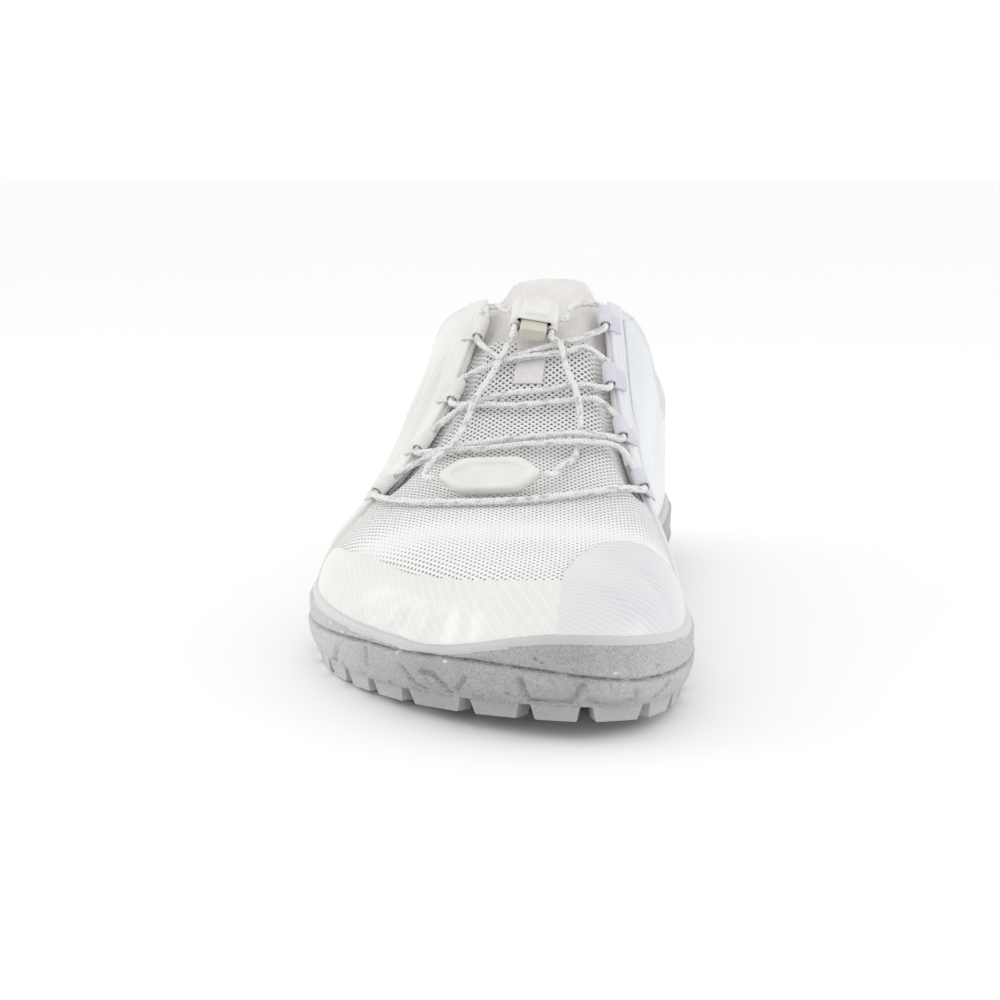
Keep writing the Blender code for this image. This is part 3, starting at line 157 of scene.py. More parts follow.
def smooth_span(a, b, c, d, count):
    """Points of a centripetal curve from b to c, with a and d as its neighbours."""
    t1 = max(np.linalg.norm(b - a), 1e-9) ** 0.5
    t2 = t1 + max(np.linalg.norm(c - b), 1e-9) ** 0.5
    t3 = t2 + max(np.linalg.norm(d - c), 1e-9) ** 0.5
    t = (t1 + (t2 - t1) * np.arange(count) / count)[:, None]
    ab = a + (b - a) * t / t1
    bc = b + (c - b) * (t - t1) / (t2 - t1)
    cd = c + (d - c) * (t - t2) / (t3 - t2)
    abc = ab + (bc - ab) * t / t2
    bcd = bc + (cd - bc) * (t - t1) / (t3 - t1)
    return abc + (bcd - abc) * (t - t1) / (t2 - t1)


def closed_curve(points, per_span=24):
    p = np.array(points, float)
    count = len(p)
    spans = [smooth_span(p[i - 1], p[i], p[(i + 1) % count], p[(i + 2) % count], per_span)
             for i in range(count)]
    return np.vstack(spans)


def open_curve(points, per_span=8):
    p = [np.array(point, float) for point in points]
    p = [2 * p[0] - p[1]] + p + [2 * p[-1] - p[-2]]
    spans = [smooth_span(p[i - 1], p[i], p[i + 1], p[i + 2], per_span) for i in range(1, len(p) - 2)]
    return np.vstack(spans + [p[-2][None]])


def path_lengths(path):
    return np.r_[0, np.cumsum(np.linalg.norm(np.diff(path, axis=0), axis=1))]


def evenly(path, count):
    """The same path with its points at equal distances."""
    lengths = path_lengths(path)
    at = np.linspace(0, lengths[-1], count)
    return np.stack([np.interp(at, lengths, path[:, axis]) for axis in range(path.shape[1])], -1)


# %% The feather line: the closed edge of the foot's floor
def outline_sides():
    loop = closed_curve([(across * BALL_WIDTH, along) for along, across in OUTLINE])
    low, high = loop[:, 1].min(), loop[:, 1].max()
    loop[:, 1] = (loop[:, 1] - low) / (high - low)
    loop = np.roll(loop, -int(np.argmin(loop[:, 1])), axis=0)
    toe = int(np.argmax(loop[:, 1]))
    return {MEDIAL: loop[:toe + 1], LATERAL: np.vstack([loop[toe:], loop[:1]])[::-1]}


FEATHER = outline_sides()
RING_PATH = np.vstack([FEATHER[MEDIAL], FEATHER[LATERAL][::-1][1:]])
RING_ARC = path_lengths(RING_PATH * [1, LAST_LENGTH])
TOE_ARC = RING_ARC[len(FEATHER[MEDIAL]) - 1]
RING_LENGTH = RING_ARC[-1]
print("feather line is", round(RING_LENGTH * 1000), "mm round, its toe tip at", round(TOE_ARC * 1000))


def ring_place(arc):
    """Share along and side of the ray that starts this far round from the heel tip."""
    along = np.interp(arc, RING_ARC, RING_PATH[:, 1])
    return along, np.where(np.asarray(arc) <= TOE_ARC, MEDIAL, LATERAL)


def arc_at(along, side):
    if side == MEDIAL:
        return np.interp(along, FEATHER[MEDIAL][:, 1], RING_ARC[:len(FEATHER[MEDIAL])])
    back = RING_ARC[len(FEATHER[MEDIAL]) - 1:][::-1]
    return np.interp(along, FEATHER[LATERAL][:, 1], back)


# %% The skin of the upper
def both(side, medial, lateral):
    return np.where(np.asarray(side) > 0, medial, lateral)


def edge_x(along, side):
    return both(side, np.interp(along, FEATHER[MEDIAL][:, 1], FEATHER[MEDIAL][:, 0]),
                np.interp(along, FEATHER[LATERAL][:, 1], FEATHER[LATERAL][:, 0]))


def ridge_x(along):
    return smooth_column(SECTIONS, 2, along) * BALL_WIDTH


def ridge_z(along):
    return smooth_column(SECTIONS, 1, along) * INSTEP_HEIGHT


def bluntness(along, side):
    return both(side, smooth_column(SECTIONS, 3, along), smooth_column(SECTIONS, 4, along))


def tread_z(along):
    """Underside of the lugs: flat, with the toe spring and the arch."""
    along = np.asarray(along, float)
    rise = np.clip((along - SPRING_START) / (1 - SPRING_START), 0, None)
    arch = np.clip(1 - ((along - ARCH_MIDDLE) / ARCH_HALF) ** 2, 0, None)
    return TOE_SPRING * rise**2 + ARCH_RISE * arch**2


def floor_z(along):
    return tread_z(along) + FOOT_FLOOR


def spine(along):
    """Where the ray from a share along the feather line meets the ridge."""
    along = np.asarray(along, float)
    front = FAN_SPREAD * (1 - np.exp(-np.clip(along - SPINE_TOE, 0, None) / FAN_SPREAD))
    back = FAN_SPREAD * (1 - np.exp(-np.clip(SPINE_HEEL - along, 0, None) / FAN_SPREAD))
    return np.clip(along, SPINE_HEEL, SPINE_TOE) + front - back


def skin(along, side, turn):
    """Outer skin: turn is 0 at the feather line and a right angle at the ridge."""
    blunt = bluntness(along, side)
    out = unit(np.cos(turn)) ** (2 / blunt)
    up = unit(np.sin(turn)) ** (2 / blunt)
    place = spine(along) + (along - spine(along)) * out
    x = ridge_x(along) + (edge_x(along, side) - ridge_x(along)) * out
    z = floor_z(place) + (ridge_z(place) - floor_z(place)) * up
    return np.stack(np.broadcast_arrays(x, place * LAST_LENGTH, z), -1)


def turn_at_height(along, side, height):
    """Turn at which the skin reaches a height over the foot's floor, found by halving."""
    along, side, height = np.broadcast_arrays(along, side, height)
    low, high = np.zeros(along.shape), np.full(along.shape, math.pi / 2)
    for _ in range(28):
        middle = (low + high) / 2
        point = skin(along, side, middle)
        under = point[..., 2] - floor_z(point[..., 1] / LAST_LENGTH) < height
        low, high = np.where(under, middle, low), np.where(under, high, middle)
    return low


def turn_at_x(along, side, x):
    """Turn at which a ray stands over a place across."""
    share = unit((x - ridge_x(along)) / (edge_x(along, side) - ridge_x(along)))
    return np.arccos(share ** (bluntness(along, side) / 2))


def facing_x(along, side):
    return both(side, smooth_column(FACING, 1, along), smooth_column(FACING, 2, along)) * BALL_WIDTH


def throat_x(along, side):
    """Edge of the throat: the facing, closed by a round end at the vamp."""
    start = THROAT_END - THROAT_ROUND
    bend = np.arcsin(unit((along - start) / THROAT_ROUND))
    middle = ridge_x(THROAT_END)
    rounded = middle + (facing_x(along, side) - middle) * np.cos(bend)
    return np.where(along <= start, facing_x(along, side), rounded)


def top_turn(along, side):
    """Where the upper ends: at the collar, at the throat, or at the ridge of the vamp."""
    collar = smooth_column(COLLAR, 1, along) * INSTEP_HEIGHT - floor_z(along)
    by_collar = turn_at_height(along, side, collar)
    by_throat = np.minimum(by_collar, turn_at_x(along, side, throat_x(along, side)))
    turn = np.where(along < FACING[0][0], by_collar, by_throat)
    return np.where(along >= THROAT_END, math.pi / 2, turn)


def rim_height(along, side):
    return both(side, smooth_column(RIM, 1, along), smooth_column(RIM, 2, along)) * INSTEP_HEIGHT


def skin_frame(along, side, turn):
    """Points of the skin with their outward normals."""
    step = 1e-4
    point = skin(along, side, turn)
    ahead = skin(unit(along + step), side, turn) - skin(unit(along - step), side, turn)
    up = skin(along, side, np.minimum(turn + step, math.pi / 2)) - skin(along, side, turn - step)
    normal = np.cross(ahead, up)
    normal /= np.maximum(np.linalg.norm(normal, axis=-1, keepdims=True), 1e-12)
    share = point[..., 1] / LAST_LENGTH
    heart = np.stack([ridge_x(share), np.clip(share, 0.15, SPINE_TOE) * LAST_LENGTH,
                      floor_z(share) + 0.25 * ridge_z(share)], -1)
    flip = np.sign(np.sum(normal * (point - heart), axis=-1, keepdims=True))
    return point, normal * np.where(flip == 0, 1, flip)


# %% The same skin read as a height over the plan
def tongue_blunt(along):
    """The crown is softer under the padded top of the tongue."""
    return 2.7 + unit((np.asarray(along, float) - TONGUE_TOP) / 0.16)


def crown(x, along):
    """Height of the skin over a place in plan, up to where the rays begin to fan out."""
    side = np.where(x > ridge_x(along), MEDIAL, LATERAL)
    blunt = np.minimum(bluntness(along, side), tongue_blunt(along))
    share = unit(np.abs((x - ridge_x(along)) / (edge_x(along, side) - ridge_x(along))))
    return floor_z(along) + (ridge_z(along) - floor_z(along)) * (1 - share**blunt) ** (1 / blunt)


def fan_ray(x, place):
    """Ray and turn of a plan point in the toe, where the rays fan out, found by halving."""
    x, place = np.broadcast_arrays(np.asarray(x, float), np.asarray(place, float))
    tip = unit((place - spine(1.0)) / (1 - spine(1.0)))
    fanned = np.clip((place - SPINE_TOE) / FAN_SPREAD, 0, 1 - 1e-9)
    low, high = np.minimum(place, 1.0), np.minimum(SPINE_TOE - FAN_SPREAD * np.log(1 - fanned), 1.0)
    middle = ridge_x(high) + (edge_x(1.0, MEDIAL) - ridge_x(1.0)) * tip
    side = np.where(x > middle, MEDIAL, LATERAL)
    for _ in range(34):
        along = (low + high) / 2
        out = unit((place - spine(along)) / np.maximum(along - spine(along), 1e-9))
        reach = ridge_x(along) + (edge_x(along, side) - ridge_x(along)) * out
        wide = (reach - x) * side > 0
        low, high = np.where(wide, along, low), np.where(wide, high, along)
    return along, side, np.arccos(unit(out) ** (bluntness(along, side) / 2))


def skin_z(x, along):
    """Height of the skin over any plan point ahead of the collar."""
    near = crown(x, np.minimum(along, SPINE_TOE))
    if np.max(along) <= SPINE_TOE:
        return near
    ray, side, turn = fan_ray(x, np.maximum(along, SPINE_TOE))
    return np.where(along > SPINE_TOE, skin(ray, side, turn)[..., 2], near)


def over_skin(x, along, level):
    """Point at a level over the skin, measured square to it, and the normal there."""
    x, along, level = np.broadcast_arrays(np.asarray(x, float), np.asarray(along, float), level)
    step = 0.0005
    ahead = step / LAST_LENGTH
    slope_x = (skin_z(x + step, along) - skin_z(x - step, along)) / (2 * step)
    slope_y = (skin_z(x, along + ahead) - skin_z(x, along - ahead)) / (2 * step)
    normal = np.stack([-slope_x, -slope_y, np.ones(x.shape)], -1)
    normal /= np.linalg.norm(normal, axis=-1, keepdims=True)
    point = np.stack([x, along * LAST_LENGTH, skin_z(x, along)], -1)
    return point + normal * level[..., None], normal


print("ridge over the ball:", round(float(skin_z(np.array(0.012), np.array(0.7))) * 1000, 1), "mm")


# %% From arrays of points to meshes
def to_world(points):
    """The toe points along -Y, and the middle of the sole's box is the origin."""
    points = np.asarray(points, float)
    return np.stack([points[..., 0] + ROOT_SHIFT[0],
                     LAST_LENGTH / 2 - points[..., 1] + ROOT_SHIFT[1], points[..., 2]], -1)


def put_in(name, data):
    """New object in the scene from a mesh, a lamp or a lens."""
    made = bpy.data.objects.new(name, data)
    bpy.context.collection.objects.link(made)
    return made


def finish_mesh(name, points, faces, looks, uv=None, merge=0.0, angle=50, face_look=None, wear=None):
    """Mesh object from points in the last's frame, closed, with its faces turned outward."""
    mesh = bpy.data.meshes.new(name)
    mesh.from_pydata(to_world(points).reshape(-1, 3).tolist(), [], faces)
    if uv is not None:
        flat = np.asarray(uv, float).reshape(-1, 2)
        corners = np.empty(len(mesh.loops), int)
        mesh.loops.foreach_get("vertex_index", corners)
        mesh.uv_layers.new(name="UVMap").data.foreach_set("uv", flat[corners].ravel())
    if face_look is not None:
        mesh.polygons.foreach_set("material_index", face_look)
    if wear is not None:
        mesh.attributes.new("wear", "FLOAT", "POINT").data.foreach_set("value", np.ravel(wear))
    work = bmesh.new()
    work.from_mesh(mesh)
    if merge:
        bmesh.ops.remove_doubles(work, verts=work.verts, dist=merge)
        bmesh.ops.dissolve_degenerate(work, edges=work.edges, dist=merge / 4)
    bmesh.ops.recalc_face_normals(work, faces=work.faces)
    work.to_mesh(mesh)
    work.free()
    mesh.shade_smooth()
    mesh.set_sharp_from_angle(angle=math.radians(angle))
    for item in looks:
        mesh.materials.append(item)
    return put_in(name, mesh)


def grid_quads(rows, columns, first=0, wrap=False):
    """Faces of a grid of points, each with four corners; wrap joins its last column to its first."""
    quads = []
    last = columns if wrap else columns - 1
    for r in range(rows - 1):
        for c in range(last):
            ahead = (c + 1) % columns
            quads.append([first + r * columns + c, first + r * columns + ahead,
                          first + (r + 1) * columns + ahead, first + (r + 1) * columns + c])
    return quads


def shell(name, high, low, looks, uv=None, wrap=False, angle=50):
    """Closed shell between two grids of points: the first look outside, the second inside.

    Without a UV map of its own it takes the distances over its outer grid."""
    rows, columns = high.shape[:2]
    count = rows * columns
    outer = grid_quads(rows, columns, 0, wrap)
    faces = outer + [[corner + count for corner in reversed(face)] for face in outer]
    edges = {}
    for face in outer:
        for k, corner in enumerate(face):
            edges[(corner, face[(k + 1) % 4])] = True
    walls = [[b, a, a + count, b + count] for a, b in edges if (b, a) not in edges]
    inside = [0] * len(outer) + [len(looks) - 1] * len(outer) + [0] * len(walls)
    points = np.concatenate([high.reshape(-1, 3), low.reshape(-1, 3)])
    uv = np.stack(on_grid(high), -1) if uv is None else uv
    uv = np.concatenate([uv.reshape(-1, 2)] * 2)
    return finish_mesh(name, points, faces + walls, looks, uv, 2e-6, angle, inside)


def spaced(count, edge):
    """Shares from 0 to 1 with two close steps at each end, for a rounded edge."""
    return np.r_[0, edge * 0.4, np.linspace(edge, 1 - edge, count), 1 - edge * 0.4, 1]


def edge_rise(rows, columns):
    """Thickness share over a grid: thin at the border, full two steps inside."""
    def one(count):
        rise = np.ones(count)
        rise[[0, -1]] = 0.25
        rise[[1, -2]] = 0.80
        return rise
    return np.minimum(one(rows)[:, None], one(columns)[None, :])


def on_grid(grid):
    """Distances in metres over a grid of points: along its rows and along its columns."""
    u = np.zeros(grid.shape[:2])
    v = np.zeros(grid.shape[:2])
    u[:, 1:] = np.cumsum(np.linalg.norm(np.diff(grid, axis=1), axis=-1), axis=1)
    v[1:] = np.cumsum(np.linalg.norm(np.diff(grid, axis=0), axis=-1), axis=0)
    return u, v


def dress(made, node=None, body="shoe"):
    """Hide the frame's part that a finished piece stands for, hang the piece on the body that it rides on,
    and print its triangles.
    """
    if node:
        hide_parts(node)
    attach(made, body)
    triangles = sum(len(face.vertices) - 2 for face in made.data.polygons)
    print(made.name, "rides on", body, "with", triangles, "triangles")

# %% [markdown]
# ## Finishes
# Each finish is a small node tree: a base colour that varies a little, and a height that feeds a
# bump. Films and tapes have their pattern on the UV map, which holds millimetres over the piece.
# Rubber and plastic read Object coordinates, in metres.

# %% Helpers for node trees
def place(tree, kind, inputs=(), **settings):
    """Add a node, set its properties, and link or set its inputs."""
    made = tree.nodes.new(kind)
    for key, value in settings.items():
        setattr(made, key, value)
    for key, value in dict(inputs).items():
        if isinstance(value, bpy.types.NodeSocket):
            tree.links.new(value, made.inputs[key])
        else:
            made.inputs[key].default_value = value
    return made


def start_look(name, colour, roughness, **sockets):
    look = bpy.data.materials.new(name)
    look.use_nodes = True
    shader = look.node_tree.nodes["Principled BSDF"]
    shader.inputs["Base Color"].default_value = (*colour, 1)
    shader.inputs["Roughness"].default_value = roughness
    for key, value in sockets.items():
        shader.inputs[key.replace("_", " ")].default_value = value
    return look, look.node_tree, shader


def coords(tree, kind="Object"):
    return place(tree, "ShaderNodeTexCoord").outputs[kind]


def noise(tree, scale, detail=3.0, vector=None, distortion=0.0):
    vector = vector or coords(tree)
    sockets = {"Vector": vector, "Scale": scale, "Detail": detail, "Distortion": distortion}
    return place(tree, "ShaderNodeTexNoise", sockets).outputs["Fac"]


def arithmetic(tree, operation, first, second=0.0):
    return place(tree, "ShaderNodeMath", {0: first, 1: second}, operation=operation).outputs[0]


def times(tree, first, second):
    return arithmetic(tree, "MULTIPLY", first, second)


def plus(tree, first, second):
    return arithmetic(tree, "ADD", first, second)


def span(tree, value, low, high, to_low=0.0, to_high=1.0):
    sockets = {"Value": value, "From Min": low, "From Max": high, "To Min": to_low, "To Max": to_high}
    return place(tree, "ShaderNodeMapRange", sockets).outputs["Result"]


def mixed(tree, share, first, second):
    made = place(tree, "ShaderNodeMix", {0: share}, data_type="RGBA")
    for index, value in ((6, first), (7, second)):
        if isinstance(value, bpy.types.NodeSocket):
            tree.links.new(value, made.inputs[index])
        else:
            made.inputs[index].default_value = (*value, 1)
    return made.outputs[2]


def colour_it(tree, shader, socket):
    tree.links.new(socket, shader.inputs["Base Color"])


def bump(tree, shader, height, strength, distance):
    """Add a height on top of the bump that the shader already has."""
    inputs = {"Height": height, "Strength": strength, "Distance": distance}
    linked = shader.inputs["Normal"].links
    if linked:
        inputs["Normal"] = linked[0].from_socket
    made = place(tree, "ShaderNodeBump", inputs)
    tree.links.new(made.outputs["Normal"], shader.inputs["Normal"])


def uv_axis(tree, across, along):
    """A distance over the UV map: its direction is given by two weights."""
    parts = place(tree, "ShaderNodeSeparateXYZ", {0: coords(tree, "UV")})
    first = times(tree, parts.outputs[0], across)
    return plus(tree, first, times(tree, parts.outputs[1], along))


def lines(tree, distance, pitch, width):
    """One on thin lines at a pitch, nought between them."""
    swing = arithmetic(tree, "PINGPONG", distance, pitch / 2)
    return span(tree, swing, 0.0, width, 1.0, 0.0)


def ribs(tree, distance, pitch):
    turn = times(tree, distance, 2 * math.pi / pitch)
    return arithmetic(tree, "SINE", turn)


# %% Cloth, tape and cord
def woven_look(name, colour, shade, pitch, along=1.0):
    """Tape or cloth: crossing ribs, with painted shade low in the weave and the shade colour in soft patches.
    """
    look, tree, shader = start_look(name, colour, 0.85, Sheen_Weight=0.25, Sheen_Roughness=0.5)
    warp = ribs(tree, uv_axis(tree, 1.0, 0.0), pitch)
    weft = ribs(tree, uv_axis(tree, 0.0, 1.0), pitch * along)
    weave = times(tree, warp, weft)
    patches = noise(tree, 260.0)
    # Painted shade low in the weave, plus soft patches of the cloth's own tone.
    weave_shade_and_patches = plus(tree, times(tree, weave, 0.25), patches)
    colour_it(tree, shader, mixed(tree, span(tree, weave_shade_and_patches, 0.2, 0.9), shade, colour))
    bump(tree, shader, patches, 0.25, 0.0006)
    bump(tree, shader, weave, 0.55, pitch * 0.22)
    return look


def ribbed_look(name, colour, shade, pitch):
    """Fine knit: narrow ribs one way, broken by a soft noise."""
    look, tree, shader = start_look(name, colour, 0.9, Sheen_Weight=0.35, Sheen_Roughness=0.45)
    broken = times(tree, noise(tree, 900.0), pitch * 0.6)
    rib = ribs(tree, plus(tree, uv_axis(tree, 0.0, 1.0), broken), pitch)
    stitch = ribs(tree, uv_axis(tree, 1.0, 0.0), pitch * 1.4)
    patches = noise(tree, 120.0, 4.0)
    colour_it(tree, shader, mixed(tree, span(tree, patches, 0.3, 0.7), shade, colour))
    bump(tree, shader, patches, 0.3, 0.001)
    knit = plus(tree, rib, times(tree, stitch, 0.5))
    bump(tree, shader, knit, 0.5, pitch * 0.2)
    return look


tongue_cloth = ribbed_look("tongue_cloth", (0.85, 0.825, 0.80), (0.77, 0.74, 0.725), 0.00085)
lining_cloth = ribbed_look("lining_cloth", (0.80, 0.80, 0.81), (0.70, 0.70, 0.72), 0.00090)
footbed_cloth = woven_look("footbed_cloth", (0.60, 0.61, 0.63), (0.50, 0.51, 0.54), 0.0009)
cream_tape = woven_look("cream_tape", (0.88, 0.87, 0.84), (0.78, 0.77, 0.74), 0.0008)
strap_tape = woven_look("strap_tape", (0.90, 0.87, 0.87), (0.81, 0.78, 0.785), 0.0013, along=0.7)
lilac_tape = woven_look("lilac_tape", (0.76, 0.76, 0.82), (0.66, 0.66, 0.73), 0.0008)

# Painted shade: dark grey for the wall and the tongue's top where the mesh's holes show them.
shade_under_mesh, tree, shader = start_look("mesh_backing", (0.33, 0.335, 0.355), 0.95)
colour_it(tree, shader, mixed(tree, noise(tree, 700.0), (0.38, 0.385, 0.40), (0.54, 0.545, 0.56)))
bump(tree, shader, noise(tree, 2500.0), 0.5, 0.0003)

mesh_thread, tree, shader = start_look("mesh_thread", (0.86, 0.855, 0.85), 0.85, Sheen_Weight=0.3)
colour_it(tree, shader, mixed(tree, noise(tree, 90.0), (0.82, 0.815, 0.81), (0.90, 0.895, 0.885)))
bump(tree, shader, noise(tree, 3200.0), 0.6, 0.0002)


def cord_look(name):
    """Braided elastic: two families of slanting yarns round the cord, with painted shade low in the braid and
    grey flecks.
    """
    look, tree, shader = start_look(name, (0.86, 0.86, 0.85), 0.8, Sheen_Weight=0.3)
    yarn_pitch = 0.00105
    right = ribs(tree, uv_axis(tree, 1.0, 0.45), yarn_pitch)
    left = ribs(tree, uv_axis(tree, 1.0, -0.45), yarn_pitch)
    braid = arithmetic(tree, "MAXIMUM", right, left)
    longer = place(tree, "ShaderNodeMapping", {"Vector": coords(tree, "UV"), "Scale": (1.0, 3.2, 1.0)})
    flecks = span(tree, noise(tree, 240.0, 1.0, longer.outputs["Vector"]), 0.54, 0.62)
    # Painted shade: greyer low between the yarns, whiter on their ridges.
    shaded_yarn = mixed(tree, span(tree, braid, -0.6, 0.5), (0.86, 0.86, 0.85), (0.95, 0.95, 0.93))
    colour_it(tree, shader, mixed(tree, times(tree, flecks, 0.8), shaded_yarn, (0.56, 0.56, 0.57)))
    bump(tree, shader, noise(tree, 700.0, 1.0), 0.5, 0.0006)
    bump(tree, shader, braid, 0.7, 0.00025)
    return look


white_cord = cord_look("white_cord")


# %% Films, rubber and plastic
def film_look(name, colour, shade, line_colour, slant, pitch, grid):
    """Thin film over the mesh: gloss, pale slanting lines and a faint square grid under it."""
    line_width, grid_width = 0.00035, 0.00016
    look, tree, shader = start_look(name, colour, 0.34, Coat_Weight=0.45, Coat_Roughness=0.2)
    sway = times(tree, noise(tree, 18.0, 1.0), 0.012)
    slanting = lines(tree, plus(tree, uv_axis(tree, *slant), sway), pitch, line_width)
    across = lines(tree, uv_axis(tree, 1.0, 0.0), grid, grid_width)
    along = lines(tree, uv_axis(tree, 0.0, 1.0), grid, grid_width)
    squares = arithmetic(tree, "MAXIMUM", across, along)
    patches = span(tree, noise(tree, 26.0, 3.0), 0.35, 0.70)
    base = mixed(tree, patches, shade, colour)
    base = mixed(tree, times(tree, squares, 0.30), base, shade)
    colour_it(tree, shader, mixed(tree, times(tree, slanting, 0.55), base, line_colour))
    bump(tree, shader, noise(tree, 60.0, 2.0), 0.20, 0.0014)
    raised = plus(tree, slanting, times(tree, squares, 0.6))
    bump(tree, shader, raised, 0.25, 0.00012)
    return look


# Name, colour, shade, colour of the lines, weights of their slant, their pitch and the grid's
FILMS = [
    ("pale_blue_film", (0.75, 0.785, 0.80), (0.655, 0.68, 0.72), (0.88, 0.90, 0.91),
     (0.75, -0.66), 0.0026, 0.0011),
    ("pale_guard_film", (0.76, 0.765, 0.77), (0.63, 0.635, 0.665), (0.89, 0.89, 0.90),
     (0.75, -0.66), 0.0024, 0.0011),
    ("cream_film", (0.81, 0.81, 0.775), (0.735, 0.735, 0.70), (0.91, 0.91, 0.88),
     (0.80, 0.60), 0.0030, 0.0016),
    ("stay_blue_film", (0.77, 0.775, 0.81), (0.69, 0.69, 0.745), (0.86, 0.87, 0.90),
     (1.0, 0.0), 0.0009, 0.0009),
    ("stay_cream_film", (0.82, 0.815, 0.775), (0.75, 0.745, 0.705), (0.90, 0.90, 0.87),
     (1.0, 0.0), 0.0012, 0.0012),
]
blue_film, guard_film, cream_film, stay_blue, stay_cream = (film_look(*row) for row in FILMS)


def rubber_look(name, colour, shade, grain, depth, roughness=0.62):
    """Moulded rubber: swirling grain, clouds, dark dots of painted shade, wear painted on the mesh as a
    number, and painted light toward both sides.
    """
    look, tree, shader = start_look(name, colour, roughness)
    swirl = noise(tree, grain, 2.0, None, 1.5)
    creases = place(tree, "ShaderNodeTexVoronoi", {"Vector": coords(tree), "Scale": grain * 1.3},
                    feature="DISTANCE_TO_EDGE").outputs["Distance"]
    clouds = span(tree, noise(tree, 35.0, 3.0), 0.35, 0.68)
    # Painted shade: small dark dots, like the shade in tiny pits.
    shade_specks = span(tree, noise(tree, 420.0, 2.0), 0.77, 0.79)
    chalk = span(tree, noise(tree, 150.0, 5.0), 0.62, 0.74)
    base = mixed(tree, clouds, shade, colour)
    # Painted light: the rubber turns paler toward the left and right sides of the sole, where the side lamps
    # fall.
    across = place(tree, "ShaderNodeSeparateXYZ", {0: coords(tree)}).outputs[0]
    off_centre_for_side_light = arithmetic(tree, "ABSOLUTE", arithmetic(tree, "SUBTRACT", across, 0.010))
    base = mixed(tree, span(tree, off_centre_for_side_light, 0.022, 0.058, 0.0, 0.62), base, (0.78, 0.785, 0.79))
    base = mixed(tree, times(tree, chalk, 0.16), base, (0.74, 0.74, 0.75))
    wear = place(tree, "ShaderNodeAttribute", attribute_name="wear").outputs["Fac"]
    base = mixed(tree, span(tree, wear, 0.0, 1.0), base, (0.86, 0.86, 0.86))
    base = mixed(tree, span(tree, wear, 0.0, -1.0), base, (0.16, 0.15, 0.15))
    colour_it(tree, shader, mixed(tree, times(tree, shade_specks, 0.6), base, (0.20, 0.19, 0.19)))
    bump(tree, shader, swirl, depth, 0.0011)
    bump(tree, shader, span(tree, creases, 0.0, 0.4), depth * 0.5, 0.0004)
    return look


side_rubber = rubber_look("grey_rubber", (0.45, 0.45, 0.46), (0.415, 0.415, 0.43), 850.0, 0.8)
# The rim band's rubber is smoother, and its paler grey is painted light on the sole's top band.
lit_band_rubber = rubber_look("rim_band_rubber", (0.58, 0.585, 0.595), (0.54, 0.545, 0.555), 1500.0, 0.15, 0.5)
lug_rubber = rubber_look("lug_rubber", (0.45, 0.45, 0.465), (0.40, 0.40, 0.415), 900.0, 0.5)


def plastic_look(name, colour, shade, roughness):
    look, tree, shader = start_look(name, colour, roughness, Coat_Weight=0.1, Coat_Roughness=0.35)
    colour_it(tree, shader, mixed(tree, span(tree, noise(tree, 160.0, 4.0), 0.3, 0.7), shade, colour))
    bump(tree, shader, noise(tree, 1800.0, 2.0), 0.15, 0.0002)
    return look


cream_plastic = plastic_look("cream_plastic", (0.83, 0.815, 0.785), (0.77, 0.755, 0.72), 0.42)
beige_plastic = plastic_look("beige_plastic", (0.66, 0.64, 0.57), (0.60, 0.575, 0.505), 0.40)
# Painted shade: near-black for the deep insides of the lock's pocket and of its eyes.
dark_hole, _, _ = start_look("dark_hole", (0.035, 0.033, 0.030), 0.8)
print("finishes:", len(bpy.data.materials))

# %% [markdown]
# ## The lace's free ends
# Two ends of the elastic leave the cord lock, lie down over the crossings and meet in the end clip.
# They are the only free cords, so they come first. Each is a tube swept along the route that the
# frame's solid has, with the lumps of a braided sheath.

# %% A braided tube along a route
LUMP_PITCH = 0.0021


def braided_tube(name, route, radius, lump, looks, sides=12):
    """Closed tube whose section is carried along without twist; it swells at each lump."""
    runs = np.gradient(route, axis=0)
    runs /= np.linalg.norm(runs, axis=1)[:, None]
    lengths = path_lengths(route)
    turns = 2 * math.pi * np.arange(sides + 1) / sides
    across = np.cross(runs[0], (0, 0, 1))
    rings = []
    for point, run, length in zip(route, runs, lengths):
        across = across - run * np.dot(across, run)
        across /= np.linalg.norm(across)
        other = np.cross(run, across)
        swell = 1 + lump * np.sin(2 * math.pi * length / LUMP_PITCH + 1.1 * np.sin(length * 610))
        flat = 1 + 0.5 * lump * np.cos(2 * turns + length * 900)
        reach = radius * swell * flat
        ring = np.outer(np.cos(turns) * reach, across) + np.outer(np.sin(turns) * reach, other)
        rings.append(point + ring)
    rings = np.array(rings)
    uv = np.stack(np.broadcast_arrays(lengths[:, None], radius * turns[None, :]), -1)
    count = len(route) * (sides + 1)
    faces = grid_quads(len(route), sides + 1)
    points = np.concatenate([rings.reshape(-1, 3), route[[0]], route[[-1]]])
    for end, middle in ((0, count), (len(route) - 1, count + 1)):
        faces += [[end * (sides + 1) + k, end * (sides + 1) + k + 1, middle] for k in range(sides)]
    uv = np.concatenate([uv.reshape(-1, 2), [[0, 0], [lengths[-1], 0]]])
    return finish_mesh(name, points, faces, looks, uv, 1e-6, 60)


# %% The cord lock's frame and the end clip's frame
STRAP_THICK = 0.0008
LACE_RADIUS = 0.00105
LOCK_WIDTH = 0.0155
LOCK_LENGTH = 0.0100
LOCK_HEIGHT = 0.0080
LOCK_WALL = 0.0012
LOCK_ROLL = math.radians(12.0)
LOCK_PLACE = (-0.0036, 0.401)
TAIL_RADIUS = 0.0010
TAIL_STUB = 0.0026
TAIL_LEVEL = LOCK_HEIGHT * 0.45
CORD_STEP = 0.00055
CLIP_LENGTH = 0.032
CLIP_WIDTH = 0.0125
CLIP_THICK = 0.0040
CLIP_PLACE = (-0.0070, 0.690, 0.0550)
CLIP_TILT = math.radians(42.0)
CLIP_TURN = math.radians(-3.0)


